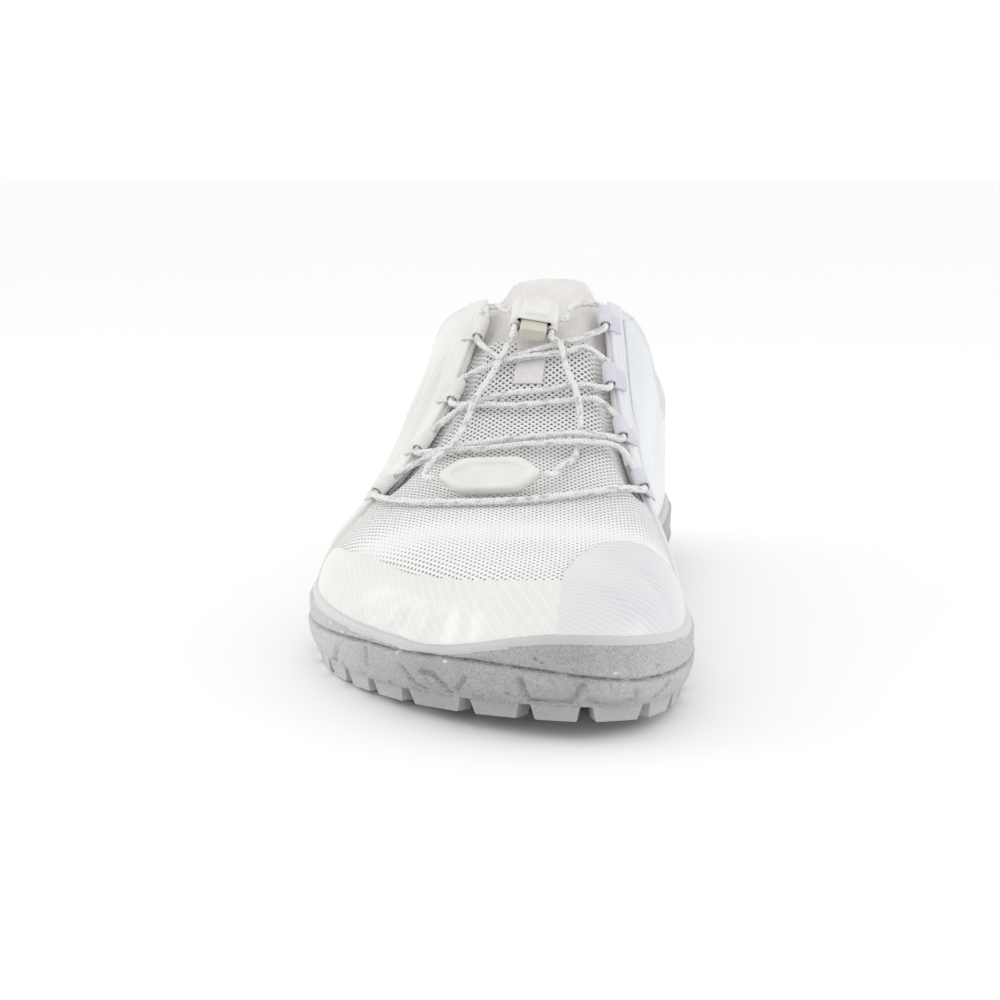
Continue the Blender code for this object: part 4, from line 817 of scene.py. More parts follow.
def lock_frame():
    """Seat of the lock on the lace, with its directions across, downhill and outward."""
    x, along = LOCK_PLACE
    seat, outward = over_skin(x, along, GAP + STRAP_THICK + GAP + LACE_RADIUS * 0.6)
    downhill = over_skin(x, along + 0.01, 0)[0] - over_skin(x, along - 0.01, 0)[0]
    downhill /= np.linalg.norm(downhill)
    roll = Matrix.Rotation(LOCK_ROLL, 3, Vector(downhill))
    width = np.array(roll @ Vector(np.cross(downhill, outward)))
    outward = np.cross(width, downhill)
    seat = seat + outward * LOCK_WIDTH / 2 * math.sin(LOCK_ROLL)
    return seat, width, downhill, outward


LOCK_FRAME = lock_frame()


def lock_place(a, b, c):
    """Point in the lock: across, downhill from its middle, above its underside."""
    seat, width, downhill, outward = LOCK_FRAME
    a, b, c = (np.asarray(value, float)[..., None] for value in (a, b, c))
    return seat + width * a + downhill * b + outward * c


def clip_place(a, b, c):
    """Point in the clip: along it, up it, and out of its face."""
    along = np.array([math.cos(CLIP_TURN), 0.0, -math.sin(CLIP_TURN)])
    up = np.array([0.0, -math.cos(CLIP_TILT), math.sin(CLIP_TILT)])
    face = np.cross(up, along)
    centre = np.array(CLIP_PLACE) * [1, LAST_LENGTH, 1]
    a, b, c = (np.asarray(value, float)[..., None] for value in (a, b, c))
    return centre + along * a + up * b + face * c


# %% Routes of the free ends: place across (mm), share along, level (mm)
TAIL_ROUTES = {
    MEDIAL: [(6.4, 0.430, 6.2), (9.6, 0.462, 5.8), (13.6, 0.500, 5.6), (15.6, 0.535, 3.6),
             (16.0, 0.573, 1.45), (15.4, 0.612, 2.2), (12.6, 0.640, 3.6)],
    LATERAL: [(-10.2, 0.430, 5.6), (-13.9, 0.468, 5.6), (-17.6, 0.506, 5.6), (-19.0, 0.545, 5.2),
              (-21.5, 0.590, 5.4), (-25.6, 0.632, 5.8)],
}


def tail_route(side):
    """Route of one free end, from beside the lock's button to the end of the clip."""
    start_x = side * (LOCK_WIDTH / 2 - LOCK_WALL / 2 - TAIL_RADIUS)
    ends = (0.0, TAIL_STUB)
    start = [lock_place(start_x, LOCK_LENGTH / 2 + GAP + reach, TAIL_LEVEL) for reach in ends]
    middle = [over_skin(x / 1000, along, level / 1000)[0] for x, along, level in TAIL_ROUTES[side]]
    end = [clip_place(side * (CLIP_LENGTH / 2 + GAP + reach), 0, 0) for reach in ends[::-1]]
    return open_curve(start + middle + end, 12)


tails = {}
for side in SIDES:
    route = tail_route(side)
    length = path_lengths(route)[-1]
    fine = evenly(route, int(length / CORD_STEP))
    name = "free_lace_" + SIDE_NAMES[side]
    tails[side] = (braided_tube(name, fine, TAIL_RADIUS, 0.05, [white_cord]), fine, float(length))
    print(name, "is", round(length * 1000, 1), "mm long")

# %% [markdown]
# ## The upper's wall
# The wall is a hollow shell with its real thickness. Where the perforated mesh lies on top, it sits
# three quarters of a millimetre lower and is darker: painted shade, a dark grey that shows through the
# holes. Behind the mesh and under the films it is pale. A grid of rays makes the outer face, and the
# same grid, moved inward by the wall's thickness, makes the inner one.

# %% Upper wall
WALL_DROP = 0.00075
UPPER_WALL = 0.0018
DROP_START = 0.56
FILM_FOOT = 0.003
FILM_TUCK = 0.0012


def mesh_share(along):
    """One where the perforated mesh covers the wall, nought by the collar and the heel."""
    return unit((along - DROP_START) / 0.03)


def ring_grid(arcs, low, high, rows):
    """Shares, sides and turns of a grid that runs round the last between two turns."""
    along, side = ring_place(arcs)
    turn = low(along, side) + (high(along, side) - low(along, side)) * rows[:, None]
    return np.broadcast_arrays(along, side, turn)


def rim_turn(along, side):
    """Turn just over the sole's rim."""
    return turn_at_height(along, side, rim_height(along, side) + GAP)


def tuck_turn(along, side):
    """Where a film ends, tucked a little way down inside the sole's rim."""
    return turn_at_height(along, side, rim_height(along, side) - FILM_TUCK)


ring_arcs = np.linspace(0, RING_LENGTH, 301)[:-1]
along, side, turn = ring_grid(ring_arcs, lambda a, s: 0 * a, top_turn, np.linspace(0, 1, 34) ** 0.8)
points, normals = skin_frame(along, side, np.clip(turn, 1e-4, math.pi / 2))
drop = GAP / 2 + WALL_DROP * mesh_share(along)
inner = points - normals * UPPER_WALL
outer = points - normals * drop[..., None]
outer[0, :, 2] += GAP
inner[0, :, 2] = outer[0, :, 2]
# The wall's outside is painted shade where the mesh lies over it, and its inside is lining cloth; faces under
# the films and toward the heel turn pale below.
wall = shell("upper_wall", outer, inner, [shade_under_mesh, lining_cloth], wrap=True)
wall.data.materials.append(mesh_thread)
centres = np.array([face.center[:] for face in wall.data.polygons])
shares = (LAST_LENGTH / 2 - centres[:, 1] + ROOT_SHIFT[1]) / LAST_LENGTH
wall_sides = np.where(centres[:, 0] > ROOT_SHIFT[0] + ridge_x(shares), MEDIAL, LATERAL)
rim_there = rim_height(unit(shares), wall_sides)
under_film = centres[:, 2] - floor_z(shares) < rim_there + FILM_FOOT
for face, covered in zip(wall.data.polygons, under_film | (shares < DROP_START)):
    if covered and face.material_index == 0:
        face.material_index = 2
dress(wall, "upper")

# %% [markdown]
# ## Perforated mesh on vamp and tongue
# The cloth has staggered diamond holes, with a pale, nearly closed band across the ball. A lattice of
# diamonds is laid over the skin by arc length, and a Geometry Nodes tree makes a hole in each one:
# it extrudes every face on its own, shrinks the copy by the face's own share, and deletes it.

# %% Lattice of diamonds over the skin
CELL_ACROSS = 0.00116
CELL_ALONG = 0.00118
MESH_START = 0.408
MESH_THICK = 0.00045
TONGUE_DROP = 0.0032
HALF_COLUMNS = 80
# Top edges of the toe guards from their common seam outward: share along, place across
GUARD_MEDIAL_TOP = [
    (0.925, 0.200), (0.868, 0.221), (0.826, 0.275), (0.807, 0.345), (0.800, 0.430), (0.806, 0.620),
]
GUARD_LATERAL_TOP = [
    (0.925, 0.200), (0.922, 0.080), (0.905, -0.060), (0.868, -0.200), (0.815, -0.320),
    (0.765, -0.420), (0.712, -0.500), (0.672, -0.640),
]


def guard_top(side):
    """Top edge of a toe guard in plan, in metres, from the common seam outward."""
    table = GUARD_MEDIAL_TOP if side == MEDIAL else GUARD_LATERAL_TOP
    return open_curve([(across * BALL_WIDTH, along * LAST_LENGTH) for along, across in table], 10)


def guard_start(x):
    """How far toward the toe the guards' top edges lie, for each place across."""
    top = np.vstack([guard_top(LATERAL)[::-1], guard_top(MEDIAL)[1:]])
    order = np.argsort(top[:, 0])
    return np.interp(x, top[order, 0], top[order, 1]) / LAST_LENGTH


def tongue_level(along, x):
    """Level of the tongue over the skin: dropped beside and under the facings."""
    side = np.where(x > ridge_x(along), MEDIAL, LATERAL)
    inside = (facing_x(along, side) - x) * side
    rise = unit((inside - 0.0010) / 0.0065)
    rise = rise * rise * (3 - 2 * rise)
    end = unit((along - THROAT_END + THROAT_ROUND) / (0.6 * THROAT_ROUND))
    return -TONGUE_DROP * (1 - rise) * (1 - end)


ridge_share = np.linspace(0.40, 0.98, 2000)
ridge_line = np.stack([ridge_share * LAST_LENGTH, skin_z(ridge_x(ridge_share), ridge_share)], -1)
ridge_arc = path_lengths(ridge_line)
first_arc = np.interp(MESH_START, ridge_share, ridge_arc)
row_count = int((ridge_arc[-1] - first_arc) / CELL_ALONG)
row_along = np.interp(first_arc + CELL_ALONG * np.arange(row_count), ridge_arc, ridge_share)

lattice = np.full((row_count, 2 * HALF_COLUMNS + 1, 2), np.nan)
away = 1 - (1 - np.linspace(0, 1, 240)) ** 2.2
for row, share in enumerate(row_along):
    for side in SIDES:
        across = ridge_x(share) + (edge_x(share, side) - ridge_x(share)) * away * 0.9995
        height = skin_z(across, np.full(across.shape, share))
        lengths = path_lengths(np.stack([across, height], -1))
        steps = np.arange(HALF_COLUMNS + 1) * CELL_ACROSS
        placed = np.interp(steps, lengths, across, right=np.nan)
        columns = HALF_COLUMNS + side * np.arange(HALF_COLUMNS + 1)
        lattice[row, columns, 0] = placed
        lattice[row, columns, 1] = share
print("lattice rows:", row_count, "from share", round(row_along[0], 3), "to", round(row_along[-1], 3))


# %% Keep the diamonds that the shoe shows
def in_mesh(x, along):
    """True for cells over the tongue and the vamp, and a little under the films around them."""
    side = np.where(x > ridge_x(along), MEDIAL, LATERAL)
    under = np.where(along < THROAT_END - THROAT_ROUND, 0.0045, 0.0035)
    wide = (x - facing_x(along, side)) * side
    keep = (wide < under) & (along < guard_start(x) + 0.012)
    height = skin_z(x, along) - floor_z(along)
    return keep & (height > rim_height(np.minimum(along, 1), side) - 0.0025)


rows, columns = np.meshgrid(np.arange(1, row_count - 1), np.arange(1, 2 * HALF_COLUMNS), indexing="ij")
even = (rows + columns) % 2 == 0
rows, columns = rows[even], columns[even]
corners = np.stack([lattice[rows, columns + 1], lattice[rows + 1, columns],
                    lattice[rows, columns - 1], lattice[rows - 1, columns]], 1)
whole = ~np.isnan(corners).any(axis=(1, 2)) & ~np.isnan(lattice[rows, columns]).any(axis=1)
rows, columns = rows[whole], columns[whole]
middle = lattice[rows, columns]
kept = in_mesh(middle[:, 0], middle[:, 1])
rows, columns, middle = rows[kept], columns[kept], middle[kept]

centre = rows * (2 * HALF_COLUMNS + 1) + columns
cells = np.stack([centre + 1, centre + 2 * HALF_COLUMNS + 1, centre - 1, centre - 2 * HALF_COLUMNS - 1], 1)
used, cells = np.unique(cells, return_inverse=True)
cells = cells.reshape(-1, 4)
plan_x, plan_along = lattice.reshape(-1, 2)[used].T
plan_side = np.where(plan_x > ridge_x(plan_along), MEDIAL, LATERAL)
inside = (throat_x(plan_along, plan_side) - plan_x) * plan_side
in_throat = (plan_along < THROAT_END) & (inside > -0.006)
in_throat &= (plan_along < THROAT_END - THROAT_ROUND) | (inside > 0)
level = np.where(in_throat, tongue_level(plan_along, plan_x), 0.0)
cloth_points, _ = over_skin(plan_x, plan_along, level)

# Shares of a cell that its hole takes: large at the throat, small toward the toe and in the pale band
LARGE_HOLE = 0.66
BAND_PLACE, BAND_WIDTH = 0.790, 0.028
cell_along = middle[:, 1]
pale = np.exp(-((cell_along - BAND_PLACE) / BAND_WIDTH) ** 2)
hole = LARGE_HOLE - 0.16 * unit((cell_along - 0.70) / 0.08) - 0.28 * pale
hole *= 1 - 0.25 * unit((0.45 - cell_along) / 0.04)
print("diamonds:", len(cells))


# %% A tree that makes a hole in every face
def new_tree(name, sockets):
    """Geometry Nodes group with a geometry in and out, and named inputs."""
    tree = bpy.data.node_groups.new(name, "GeometryNodeTree")
    tree.interface.new_socket("Geometry", in_out="INPUT", socket_type="NodeSocketGeometry")
    for label, kind, value in sockets:
        made = tree.interface.new_socket(label, in_out="INPUT", socket_type=kind)
        if value is not None:
            made.default_value = value
    tree.interface.new_socket("Geometry", in_out="OUTPUT", socket_type="NodeSocketGeometry")
    return tree, tree.nodes.new("NodeGroupInput"), tree.nodes.new("NodeGroupOutput")


def hole_tree():
    """Extrude each face by itself, shrink the copy by the face's own share, and delete it."""
    tree, start, end = new_tree("perforate", [("Hole size", "NodeSocketFloat", 1.0),
                                              ("Finish", "NodeSocketMaterial", None)])
    extrude = place(tree, "GeometryNodeExtrudeMesh", {"Mesh": start.outputs["Geometry"], "Offset Scale": 0.0},
                    mode="FACES")
    extrude.inputs["Individual"].default_value = True
    share = place(tree, "GeometryNodeInputNamedAttribute", {"Name": "hole_share"}, data_type="FLOAT")
    sized = times(tree, share.outputs["Attribute"], start.outputs["Hole size"])
    shrink = place(tree, "GeometryNodeScaleElements",
                   {"Geometry": extrude.outputs["Mesh"], "Selection": extrude.outputs["Top"], "Scale": sized})
    hole = place(tree, "GeometryNodeDeleteGeometry",
                 {"Geometry": shrink.outputs["Geometry"], "Selection": extrude.outputs["Top"]}, domain="FACE")
    real = place(tree, "GeometryNodeRealizeInstances", {"Geometry": hole.outputs["Geometry"]})
    final = place(tree, "GeometryNodeSetMaterial",
                  {"Geometry": real.outputs["Geometry"], "Material": start.outputs["Finish"]})
    tree.links.new(final.outputs["Geometry"], end.inputs["Geometry"])
    return tree


def apply_modifiers(made):
    """Turn the evaluated object into a plain mesh and take its modifiers off."""
    bpy.context.view_layer.update()
    solid = bpy.data.meshes.new_from_object(made.evaluated_get(bpy.context.evaluated_depsgraph_get()))
    solid.name = made.name
    made.modifiers.clear()
    made.data = solid
    return made


def run_tree(made, tree, **inputs):
    """Apply a Geometry Nodes tree, its inputs set by the sockets' identifiers."""
    step = made.modifiers.new(tree.name, "NODES")
    step.node_group = tree
    for item in tree.interface.items_tree:
        label = item.name.replace(" ", "_").lower()
        if item.in_out == "INPUT" and label in inputs:
            step[item.identifier] = inputs[label]
    return apply_modifiers(made)


# %% Perforate the cloth and give it its thickness
cloth_mesh = bpy.data.meshes.new("perforated_mesh")
cloth_mesh.from_pydata(to_world(cloth_points).tolist(), [], cells.tolist())
if sum(face.normal.z for face in cloth_mesh.polygons) < 0:
    cloth_mesh.flip_normals()
cloth_mesh.attributes.new("hole_share", "FLOAT", "FACE").data.foreach_set("value", hole)
cloth = put_in("perforated_mesh", cloth_mesh)
run_tree(cloth, hole_tree(), hole_size=1.0, finish=mesh_thread)
wall_step = cloth.modifiers.new("thickness", "SOLIDIFY")
wall_step.thickness = MESH_THICK
wall_step.offset = -1
apply_modifiers(cloth)
cloth.data.shade_smooth()
cloth.data.set_sharp_from_angle(angle=math.radians(60))
dress(cloth)

# %% [markdown]
# ## Film overlays
# Thin films are fused over the mesh: two quarters, a strip along each facing, and two toe guards.
# Each is a closed shell over a grid that follows the panel's own edges, with a thin, rounded border.
# The creases of the worn film are placed one by one as soft troughs and ridges over that grid.

# %% Creases over a grid of points
def crease(grid, path, width, depth, fade=0.012):
    """Soft trough (minus) or ridge (plus) along a path of points (place, height) in metres."""
    path = open_curve(path, 6)
    flat = grid.reshape(-1, 1, 2)
    start, run = path[:-1], np.diff(path, axis=0)
    t = unit(np.sum((flat - start) * run, -1) / np.sum(run * run, -1))
    distance = np.linalg.norm(flat - (start + run * t[..., None]), axis=-1)
    nearest = np.argmin(distance, axis=1)
    lengths = path_lengths(path)
    at = lengths[nearest] + t[np.arange(len(flat)), nearest] * np.linalg.norm(run, axis=1)[nearest]
    ends = unit(at / fade) * unit((lengths[-1] - at) / fade)
    near = distance[np.arange(len(flat)), nearest]
    return (depth * np.exp(-(near / width) ** 2) * ends).reshape(grid.shape[:2])


FILM_SINK = 0.0009
OVERLAP = 0.0012
UPPER_FILM = 0.00105


def film(name, along, side, turn, look, node, relief, thick):
    """Film over the skin on a grid of rays; its border is rounded and sinks into the cloth."""
    points, normals = skin_frame(along, side, np.clip(turn, 1e-4, math.pi / 2))
    rise = edge_rise(*points.shape[:2])
    high = points + normals * (GAP + thick * rise + relief * rise)[..., None]
    low = points + normals * (GAP - FILM_SINK + np.minimum(relief, 0.0) * rise)[..., None]
    made = shell(name, high, low, [look], np.stack(on_grid(points), -1))
    dress(made, node)


def wander(along, turn, seed, size):
    """Very low swell that keeps a film from looking machined."""
    return size * (np.sin(31 * along + seed) * np.sin(4.1 * turn + 2.3 * seed)
                   + 0.6 * np.sin(57 * along - 6.3 * turn + 1.7 * seed))


# %% Quarters: sides of heel and waist
COLLAR_BAND = 0.0060


def quarter_top(along, side):
    """The quarter stops below the collar, then beside the strip along the facing."""
    collar = smooth_column(COLLAR, 1, along) * INSTEP_HEIGHT - COLLAR_BAND - floor_z(along)
    by_collar = turn_at_height(along, side, collar)
    seam = facing_x(along, side) + side * (both(side, EYESTAY[MEDIAL], EYESTAY[LATERAL]) - OVERLAP)
    by_seam = np.where(along < 0.30, math.pi / 2, turn_at_x(along, side, seam))
    return np.maximum(np.minimum(by_collar, by_seam), rim_turn(along, side) + 0.004)


def long_crease(offset):
    """Path that stays about one distance below the quarter's top edge."""
    return [(0.108, offset * 0.9), (0.126, offset), (0.146, offset * 1.12), (0.170, offset)]


# Creases: points (distance from the heel, below the top edge), width and depth, in metres
QUARTER_CREASES = {
    MEDIAL: [
        ([(0.118, 0.004), (0.134, 0.010), (0.150, 0.018)], 0.0022, -0.0009),
        ([(0.124, 0.002), (0.143, 0.009), (0.160, 0.018)], 0.0024, 0.0009),
        ([(0.150, 0.003), (0.165, 0.009), (0.182, 0.013)], 0.0018, -0.0006),
        ([(0.166, 0.004), (0.184, 0.008), (0.200, 0.007)], 0.0016, 0.0005),
    ],
    LATERAL: [
        (long_crease(0.0030), 0.0010, -0.0007), (long_crease(0.0075), 0.0022, 0.0012),
        (long_crease(0.0118), 0.0013, -0.0009), (long_crease(0.0175), 0.0030, 0.0011),
        ([(0.120, 0.034), (0.142, 0.026), (0.160, 0.014)], 0.0028, -0.0010),
        ([(0.125, 0.041), (0.148, 0.032), (0.168, 0.018)], 0.0030, 0.0009),
    ],
}
QUARTER_BACK = {MEDIAL: GAP, LATERAL: RING_LENGTH - GAP}
QUARTER_FRONT = {MEDIAL: 0.812, LATERAL: 0.705}
QUARTER_THICK = {MEDIAL: FILM_THICK, LATERAL: 0.00095}
quarter_looks = {MEDIAL: (blue_film, "pale_blue_film"), LATERAL: (cream_film, "cream_film")}
for side in SIDES:
    start, end = QUARTER_BACK[side], arc_at(QUARTER_FRONT[side], side)
    arcs = start + (end - start) * spaced(230, 0.004)
    along, sides, turn = ring_grid(arcs, tuck_turn, quarter_top, spaced(56, 0.018))
    grid, _ = skin_frame(along, sides, np.clip(turn, 1e-4, math.pi / 2))
    _, up = on_grid(grid)
    down = up[-1:] - up
    place_up = np.stack([along * LAST_LENGTH, down], -1)
    relief = wander(along, turn, 1.3 + side, 0.00009)
    for path, width, depth in QUARTER_CREASES[side]:
        relief = relief + crease(place_up, path, width, depth)
    look, slot = quarter_looks[side]
    name = "quarter_" + SIDE_NAMES[side]
    film("film_" + name, along, sides, turn, look, name, relief, QUARTER_THICK[side])

# %% Strips along the facings
STAY_BACK = 0.345
STAY_FRONT = {MEDIAL: 0.80, LATERAL: 0.735}
stay_looks = {MEDIAL: (stay_blue, "lilac_tape"), LATERAL: (stay_cream, "cream_film")}


def stay_turn(inset):
    """Turn at a distance outward from the facing's edge, but not under the sole's rim."""
    def turn(along, side):
        at = turn_at_x(along, side, facing_x(along, side) + side * inset)
        return np.maximum(at, rim_turn(along, side))
    return turn


for side in SIDES:
    shares = np.linspace(0.5, STAY_FRONT[side], 400)
    inner_turn = stay_turn(2 * GAP)
    at_rim = inner_turn(shares, side) <= rim_turn(shares, side) + 0.01
    end = shares[np.argmax(at_rim)] if at_rim.any() else STAY_FRONT[side]
    arcs = arc_at(STAY_BACK, side) + (arc_at(end, side) - arc_at(STAY_BACK, side)) * spaced(170, 0.004)
    along, sides, turn = ring_grid(arcs, stay_turn(EYESTAY[side]), inner_turn, spaced(12, 0.06))
    turn = turn + np.linspace(0, 0.003, turn.shape[0])[:, None]
    grid, _ = skin_frame(along, sides, turn)
    _, up = on_grid(grid)
    relief = 0.00022 * np.exp(-((up[-1:] - up - 0.0011) / 0.0004) ** 2)
    relief = relief - 0.00022 * np.exp(-((up[-1:] - up - 0.0021) / 0.0003) ** 2)
    relief = relief + 0.0003 * np.exp(-((up - 0.0012) / 0.0006) ** 2)
    look, slot = stay_looks[side]
    name = "eyestay_" + SIDE_NAMES[side]
    film("film_" + name, along, sides, turn, look, name, relief, UPPER_FILM)

# %% Piping along the outer edge of the medial strip
PIPING_RADIUS = 0.0005
shares = np.linspace(0.360, 0.745, 160)
turn = turn_at_x(shares, MEDIAL, facing_x(shares, MEDIAL) + EYESTAY[MEDIAL] + 0.0004)
points, normals = skin_frame(shares, MEDIAL, turn)
piping_path = points + normals * (GAP + FILM_THICK)
piping = braided_tube("medial_piping", piping_path, PIPING_RADIUS, 0.0, [lilac_tape], 8)
dress(piping)

# %% Toe guards: over the big toe, and low over the small toes
SEAM_LINE = np.array([(0.925, 0.200), (0.960, 0.206), (1.060, 0.214)])


def in_outline(outline, x, y):
    """Even-odd test for many points."""
    ax, ay = outline[:, 0], outline[:, 1]
    bx, by = np.roll(ax, -1), np.roll(ay, -1)
    x, y = np.asarray(x)[..., None], np.asarray(y)[..., None]
    cross = (ay > y) != (by > y)
    at = ax + (y - ay) / np.where(by == ay, 1e-12, by - ay) * (bx - ax)
    return (np.sum(cross & (x < at), axis=-1) % 2) == 1


def guard_limit(outline):
    """Highest turn of each ray that is still inside the outline."""
    def turn(along, side):
        low = rim_turn(along, side)
        steps = np.linspace(0, 1, 700)[:, None]
        turns = low + (math.pi / 2 - low) * steps
        point = skin(along, side, turns)
        inside = in_outline(outline, point[..., 0], point[..., 1])
        inside[:3] = True
        last = np.argmin(inside, axis=0)
        last = np.where(inside.all(axis=0), len(steps) - 1, last)
        found = turns[last, np.arange(turns.shape[1])]
        soft = np.convolve(np.r_[found[:1], found, found[-1:]], (0.25, 0.5, 0.25), "valid")
        return np.maximum(soft, low + 0.004)
    return turn


def seam_arcs(turns, shift):
    """Where the guards' common seam crosses each level, by halving along the ring."""
    low, high = np.full(turns.shape, TOE_ARC - 0.012), np.full(turns.shape, TOE_ARC + 0.030)
    for _ in range(26):
        arc = (low + high) / 2
        along, side = ring_place(arc)
        point = skin(along, side, turns)
        seam = np.interp(point[:, 1] / LAST_LENGTH, SEAM_LINE[:, 0], SEAM_LINE[:, 1]) * BALL_WIDTH + shift
        right = point[:, 0] > seam
        low, high = np.where(right, arc, low), np.where(right, high, arc)
    return low


# Creases: arc from the toe tip, lean over their height, and depth, in metres
GUARD_CREASES = {
    MEDIAL: [(-0.004, 0.003, -0.0004), (-0.022, 0.002, 0.0004), (-0.040, -0.003, -0.0005)],
    LATERAL: [
        (0.030, 0.004, -0.0005), (0.039, 0.003, -0.0007), (0.047, 0.002, 0.0006), (0.055, 0.002, -0.0008),
        (0.063, 0.000, 0.0006), (0.072, -0.002, -0.0007), (0.082, -0.003, 0.0005), (0.093, -0.004, -0.0006),
    ],
}
# Heights of a crease's three points, its width and how far its ends fade
GUARD_FOLD = {
    MEDIAL: ((0.001, 0.010, 0.022), 0.0035, 0.006),
    LATERAL: ((0.0005, 0.006, 0.012), 0.0024, 0.004),
}
guard_looks = {MEDIAL: (guard_film, "pale_blue_film"), LATERAL: (cream_film, "cream_film")}
SEAM_SHIFT = {MEDIAL: GAP / 2, LATERAL: OVERLAP}
GUARD_THICK = {MEDIAL: UPPER_FILM, LATERAL: FILM_THICK}
for side in SIDES:
    top = guard_top(side)
    seam_x = SEAM_LINE[0, 1] * BALL_WIDTH
    beyond = np.array([(seam_x - side * seam_x, top[0, 1])])
    corner = np.array([(side * BALL_WIDTH, top[-1, 1]), (side * BALL_WIDTH, 1.2 * LAST_LENGTH),
                       (-side * BALL_WIDTH, 1.2 * LAST_LENGTH), (-side * BALL_WIDTH, top[0, 1])])
    outline = np.vstack([beyond, top, corner])
    limit = guard_limit(outline)
    shares = np.linspace(0.66, 0.93, 340)
    rim = rim_turn(shares, side)
    rim_point = skin(shares, side, rim)
    first = shares[np.argmax(in_outline(outline, rim_point[:, 0], rim_point[:, 1]))]
    start = arc_at(first, side)
    rows = spaced(44, 0.02)
    seam = seam_arcs(np.interp(rows, [0, 1], [0.16, 1.25]), SEAM_SHIFT[side])
    for _ in range(6):
        seam_along, seam_side = ring_place(seam)
        low_turn, high_turn = tuck_turn(seam_along, seam_side), limit(seam_along, seam_side)
        seam = seam_arcs(low_turn + (high_turn - low_turn) * rows, SEAM_SHIFT[side])
    columns = spaced(150, 0.006)
    arcs = start + (seam[:, None] - start) * columns
    along, sides = ring_place(arcs)
    low_turn = tuck_turn(along, sides)
    high_turn = limit(along.reshape(-1), sides.reshape(-1)).reshape(along.shape)
    turn = low_turn + (high_turn - low_turn) * rows[:, None]
    grid, _ = skin_frame(along, sides, turn)
    _, up = on_grid(grid)
    place_up = np.stack([arcs - TOE_ARC, up], -1)
    relief = wander(along, turn, 0.7 + side, 0.00007)
    heights, width, fade = GUARD_FOLD[side]
    for at, lean, depth in GUARD_CREASES[side]:
        path = list(zip((at, at + lean / 2, at + lean), heights))
        relief = relief + crease(place_up, path, width, depth, fade)
    look, slot = guard_looks[side]
    name = "toe_guard_" + SIDE_NAMES[side]
    film("film_" + name, along, sides, turn, look, name, relief, GUARD_THICK[side])

# %% [markdown]
# ## Collar, tongue and footbed
# The collar is a foam roll in knit cloth that turns over the edge and down the inside. The tongue is a
# padded sheet with a bound edge, and the footbed is thin foam. All three are closed shells swept from
# given profiles, because their thickness shows at the opening.

# %% Padded collar roll
COLLAR_STEPS = 110
COLLAR_FRONT = 0.350
medial_shares = np.linspace(COLLAR_FRONT, 0.002, COLLAR_STEPS)
lateral_shares = np.linspace(0.002, COLLAR_FRONT, COLLAR_STEPS)
collar_shares = np.r_[medial_shares, lateral_shares]
collar_sides = np.repeat([MEDIAL, LATERAL], COLLAR_STEPS)
collar_turns = top_turn(collar_shares, collar_sides)
edge_points, edge_normals = skin_frame(collar_shares, collar_sides, collar_turns)
edge_runs = np.gradient(edge_points, axis=0)
edge_runs /= np.linalg.norm(edge_runs, axis=1, keepdims=True)
edge_normals -= edge_runs * np.sum(edge_normals * edge_runs, axis=1, keepdims=True)
edge_normals /= np.linalg.norm(edge_normals, axis=1, keepdims=True)
edge_ups = np.cross(edge_normals, edge_runs)
edge_ups *= np.sign(edge_ups[:, 2:3])
# Profile of the roll: outward, upward (mm), from the outer seam over the top to the inner seam
ROLL = np.array([(0.35, -6.6), (0.75, -6.0), (1.05, -4.6), (1.15, -3.0), (1.00, -1.6), (0.45, -0.4),
                 (-0.55, 0.55), (-1.9, 0.9), (-3.3, 0.5), (-4.5, -0.6), (-5.2, -2.2), (-5.5, -4.4),
                 (-5.3, -7.2), (-4.6, -10.2), (-3.6, -12.6), (-2.5, -14.2), (-1.95, -14.6), (-1.0, -9.0),
                 (-0.6, -7.0)]) / 1000
profile = closed_curve(ROLL, 3)
steps = np.arange(2 * COLLAR_STEPS)
ends = unit(np.minimum(steps, steps[::-1]) / 9)
taper = 0.30 + 0.70 * np.sqrt(1 - (1 - ends) ** 2)
heart = np.array([-0.0018, -0.0040])
scaled = heart + (profile - heart) * taper[:, None, None]
roll = (edge_points[:, None] + edge_normals[:, None] * scaled[..., :1] + edge_ups[:, None] * scaled[..., 1:])
rows, columns = roll.shape[:2]
faces = grid_quads(rows, columns, 0, True)
faces += [list(range(columns)), [(rows - 1) * columns + k for k in reversed(range(columns))]]
roll_uv = np.stack(np.broadcast_arrays(path_lengths(profile)[None], path_lengths(edge_points)[:, None]), -1)
collar = finish_mesh("collar_roll", roll, faces, [lining_cloth], roll_uv, angle=70)
dress(collar)

# %% Tongue
TONGUE_MARGIN = 0.0080
TONGUE_THICK = 0.0024
TONGUE_PAD = 0.0022
TONGUE_CLOTH_END = 0.418


def tongue_half(along, side):
    """Place across of the tongue's edge: under the facing, then along the throat's end."""
    start = THROAT_END - THROAT_ROUND
    under = unit((start - 0.03 - along) / 0.05)
    reach = 0.40 * np.abs(edge_x(along, side) - facing_x(along, side))
    margin = np.minimum(TONGUE_MARGIN, reach) * under - GAP * (1 - under)
    beside = facing_x(along, side) + side * margin
    return np.where(along > start - 0.001, throat_x(along, side) - side * GAP, beside)


